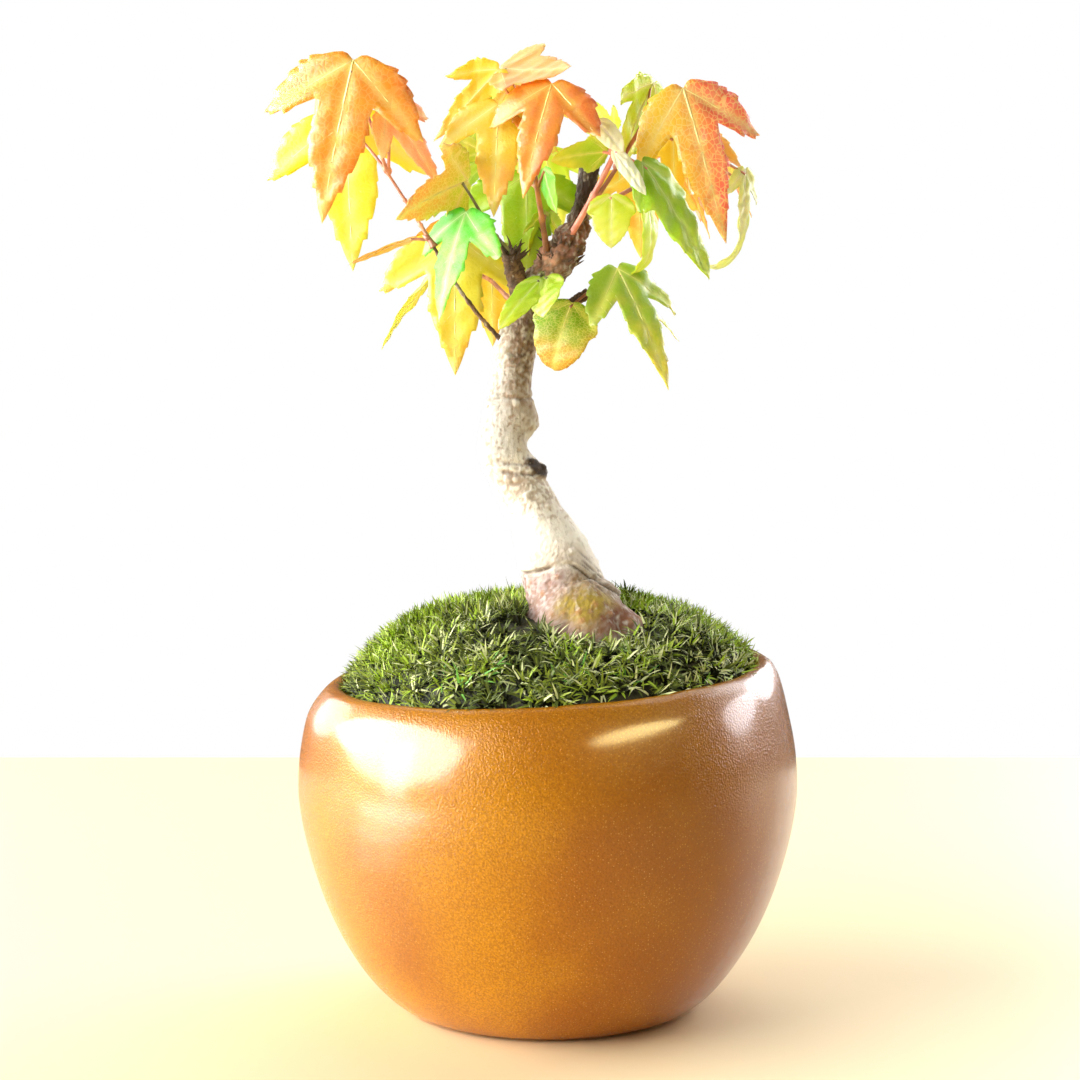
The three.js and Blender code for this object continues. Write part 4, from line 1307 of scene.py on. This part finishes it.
def make_floor():
    """A plain pale table top that ends behind the pot."""
    back, reach = 0.234, 1.6
    mesh = bpy.data.meshes.new("floor")
    corners = [(-reach, -reach, 0), (reach, -reach, 0), (reach, back, 0), (-reach, back, 0)]
    mesh.from_pydata(corners, [], [(0, 1, 2, 3)])
    mesh.materials.append(plain("floor", tone(252, 231, 184), 0.5))
    floor = placed("floor", mesh)


def lamp(name, place, target, size, power, colour, gloss_only=False):
    data = bpy.data.lights.new(name, "AREA")
    data.shape = "ELLIPSE" if gloss_only else "RECTANGLE"
    data.size, data.size_y = size
    data.energy = power
    data.color = colour
    made = placed(name, data)
    made.location = place
    made.rotation_euler = (Vector(target) - Vector(place)).to_track_quat("-Z", "Y").to_euler()
    made.visible_diffuse = not gloss_only
    made.visible_camera = False


def make_world():
    """White to the camera, and a softer light to everything else."""
    world = bpy.data.worlds.new("studio")
    world.use_nodes = True
    nodes, links = world.node_tree.nodes, world.node_tree.links
    seen, soft = nodes["Background"], nodes.new("ShaderNodeBackground")
    choice = nodes.new("ShaderNodeMixShader")
    path = nodes.new("ShaderNodeLightPath")
    links.new(path.outputs["Is Camera Ray"], choice.inputs[0])
    for place, light, colour, strength in ((1, soft, (1, 0.98, 0.95, 1), 0.16), (2, seen, (1, 1, 1, 1), 1)):
        light.inputs["Color"].default_value = colour
        light.inputs["Strength"].default_value = strength
        links.new(light.outputs[0], choice.inputs[place])
    links.new(choice.outputs[0], nodes["World Output"].inputs["Surface"])
    bpy.context.scene.world = world


def make_camera():
    focal_pixels, frame_pixels, sensor = 2915, 1080, 36
    data = bpy.data.cameras.new("camera")
    data.sensor_width = sensor
    data.lens = sensor * focal_pixels / frame_pixels
    camera = placed("camera", data)
    camera.location = (-0.00145, -0.52, 0.1465)
    pitch = 6.73
    camera.rotation_euler = (math.radians(90 - pitch), 0, 0)
    bpy.context.scene.camera = camera


make_floor()
make_world()
make_camera()
middle = (0, 0, 0.07)
# Light that the glaze takes from the table at its left: x, y, width and power.
FLOOR_GLEAMS = [(-0.1, -0.036, 0.05, 0.016), (-0.15, -0.055, 0.09, 0.14), (-0.3, -0.11, 0.22, 1.6)]
lamp("window_left", (-0.8, -0.2, 0.4), middle, (1.2, 0.55), 17, (1, 0.99, 0.97))
lamp("window_right", (0.72, 0.48, 0.56), middle, (0.5, 0.5), 4.5, (0.97, 0.97, 1))
lamp("sky", (0.1, 0.5, 0.85), middle, (1.0, 0.8), 6.5, (1, 1, 1))
lamp("gleam_left", (-0.8, -0.12, 0.36), middle, (1.4, 0.64), 60, (1, 0.99, 0.98), gloss_only=True)
lamp("gleam_low", (-0.9, -0.3, 0.18), middle, (0.26, 0.6), 6, (0.93, 0.92, 1), gloss_only=True)
for number, (x, y, width, power) in enumerate(FLOOR_GLEAMS):
    place, target = (x, y, 0.004), (x, y, 0.2)
    lamp(f"gleam_floor_{number}", place, target, (width, width), power, (0.94, 0.92, 1), gloss_only=True)
lamp("gleam_right", (0.82, 0.24, 0.25), middle, (0.4, 0.25), 5.2, (0.94, 0.93, 1), gloss_only=True)
lamp("gleam_back", (0.56, 0.66, 0.3), middle, (0.7, 0.4), 9, (0.95, 0.94, 1), gloss_only=True)
lamp("gleam_edge", (-0.62, 0.66, 0.26), middle, (0.5, 0.46), 4.5, (1, 0.96, 0.95), gloss_only=True)
lamp("gleam_warm", (0.42, -0.45, 0.38), middle, (0.56, 0.12), 7, (1, 0.85, 0.38), gloss_only=True)
bpy.context.scene.view_settings.view_transform = "Standard"
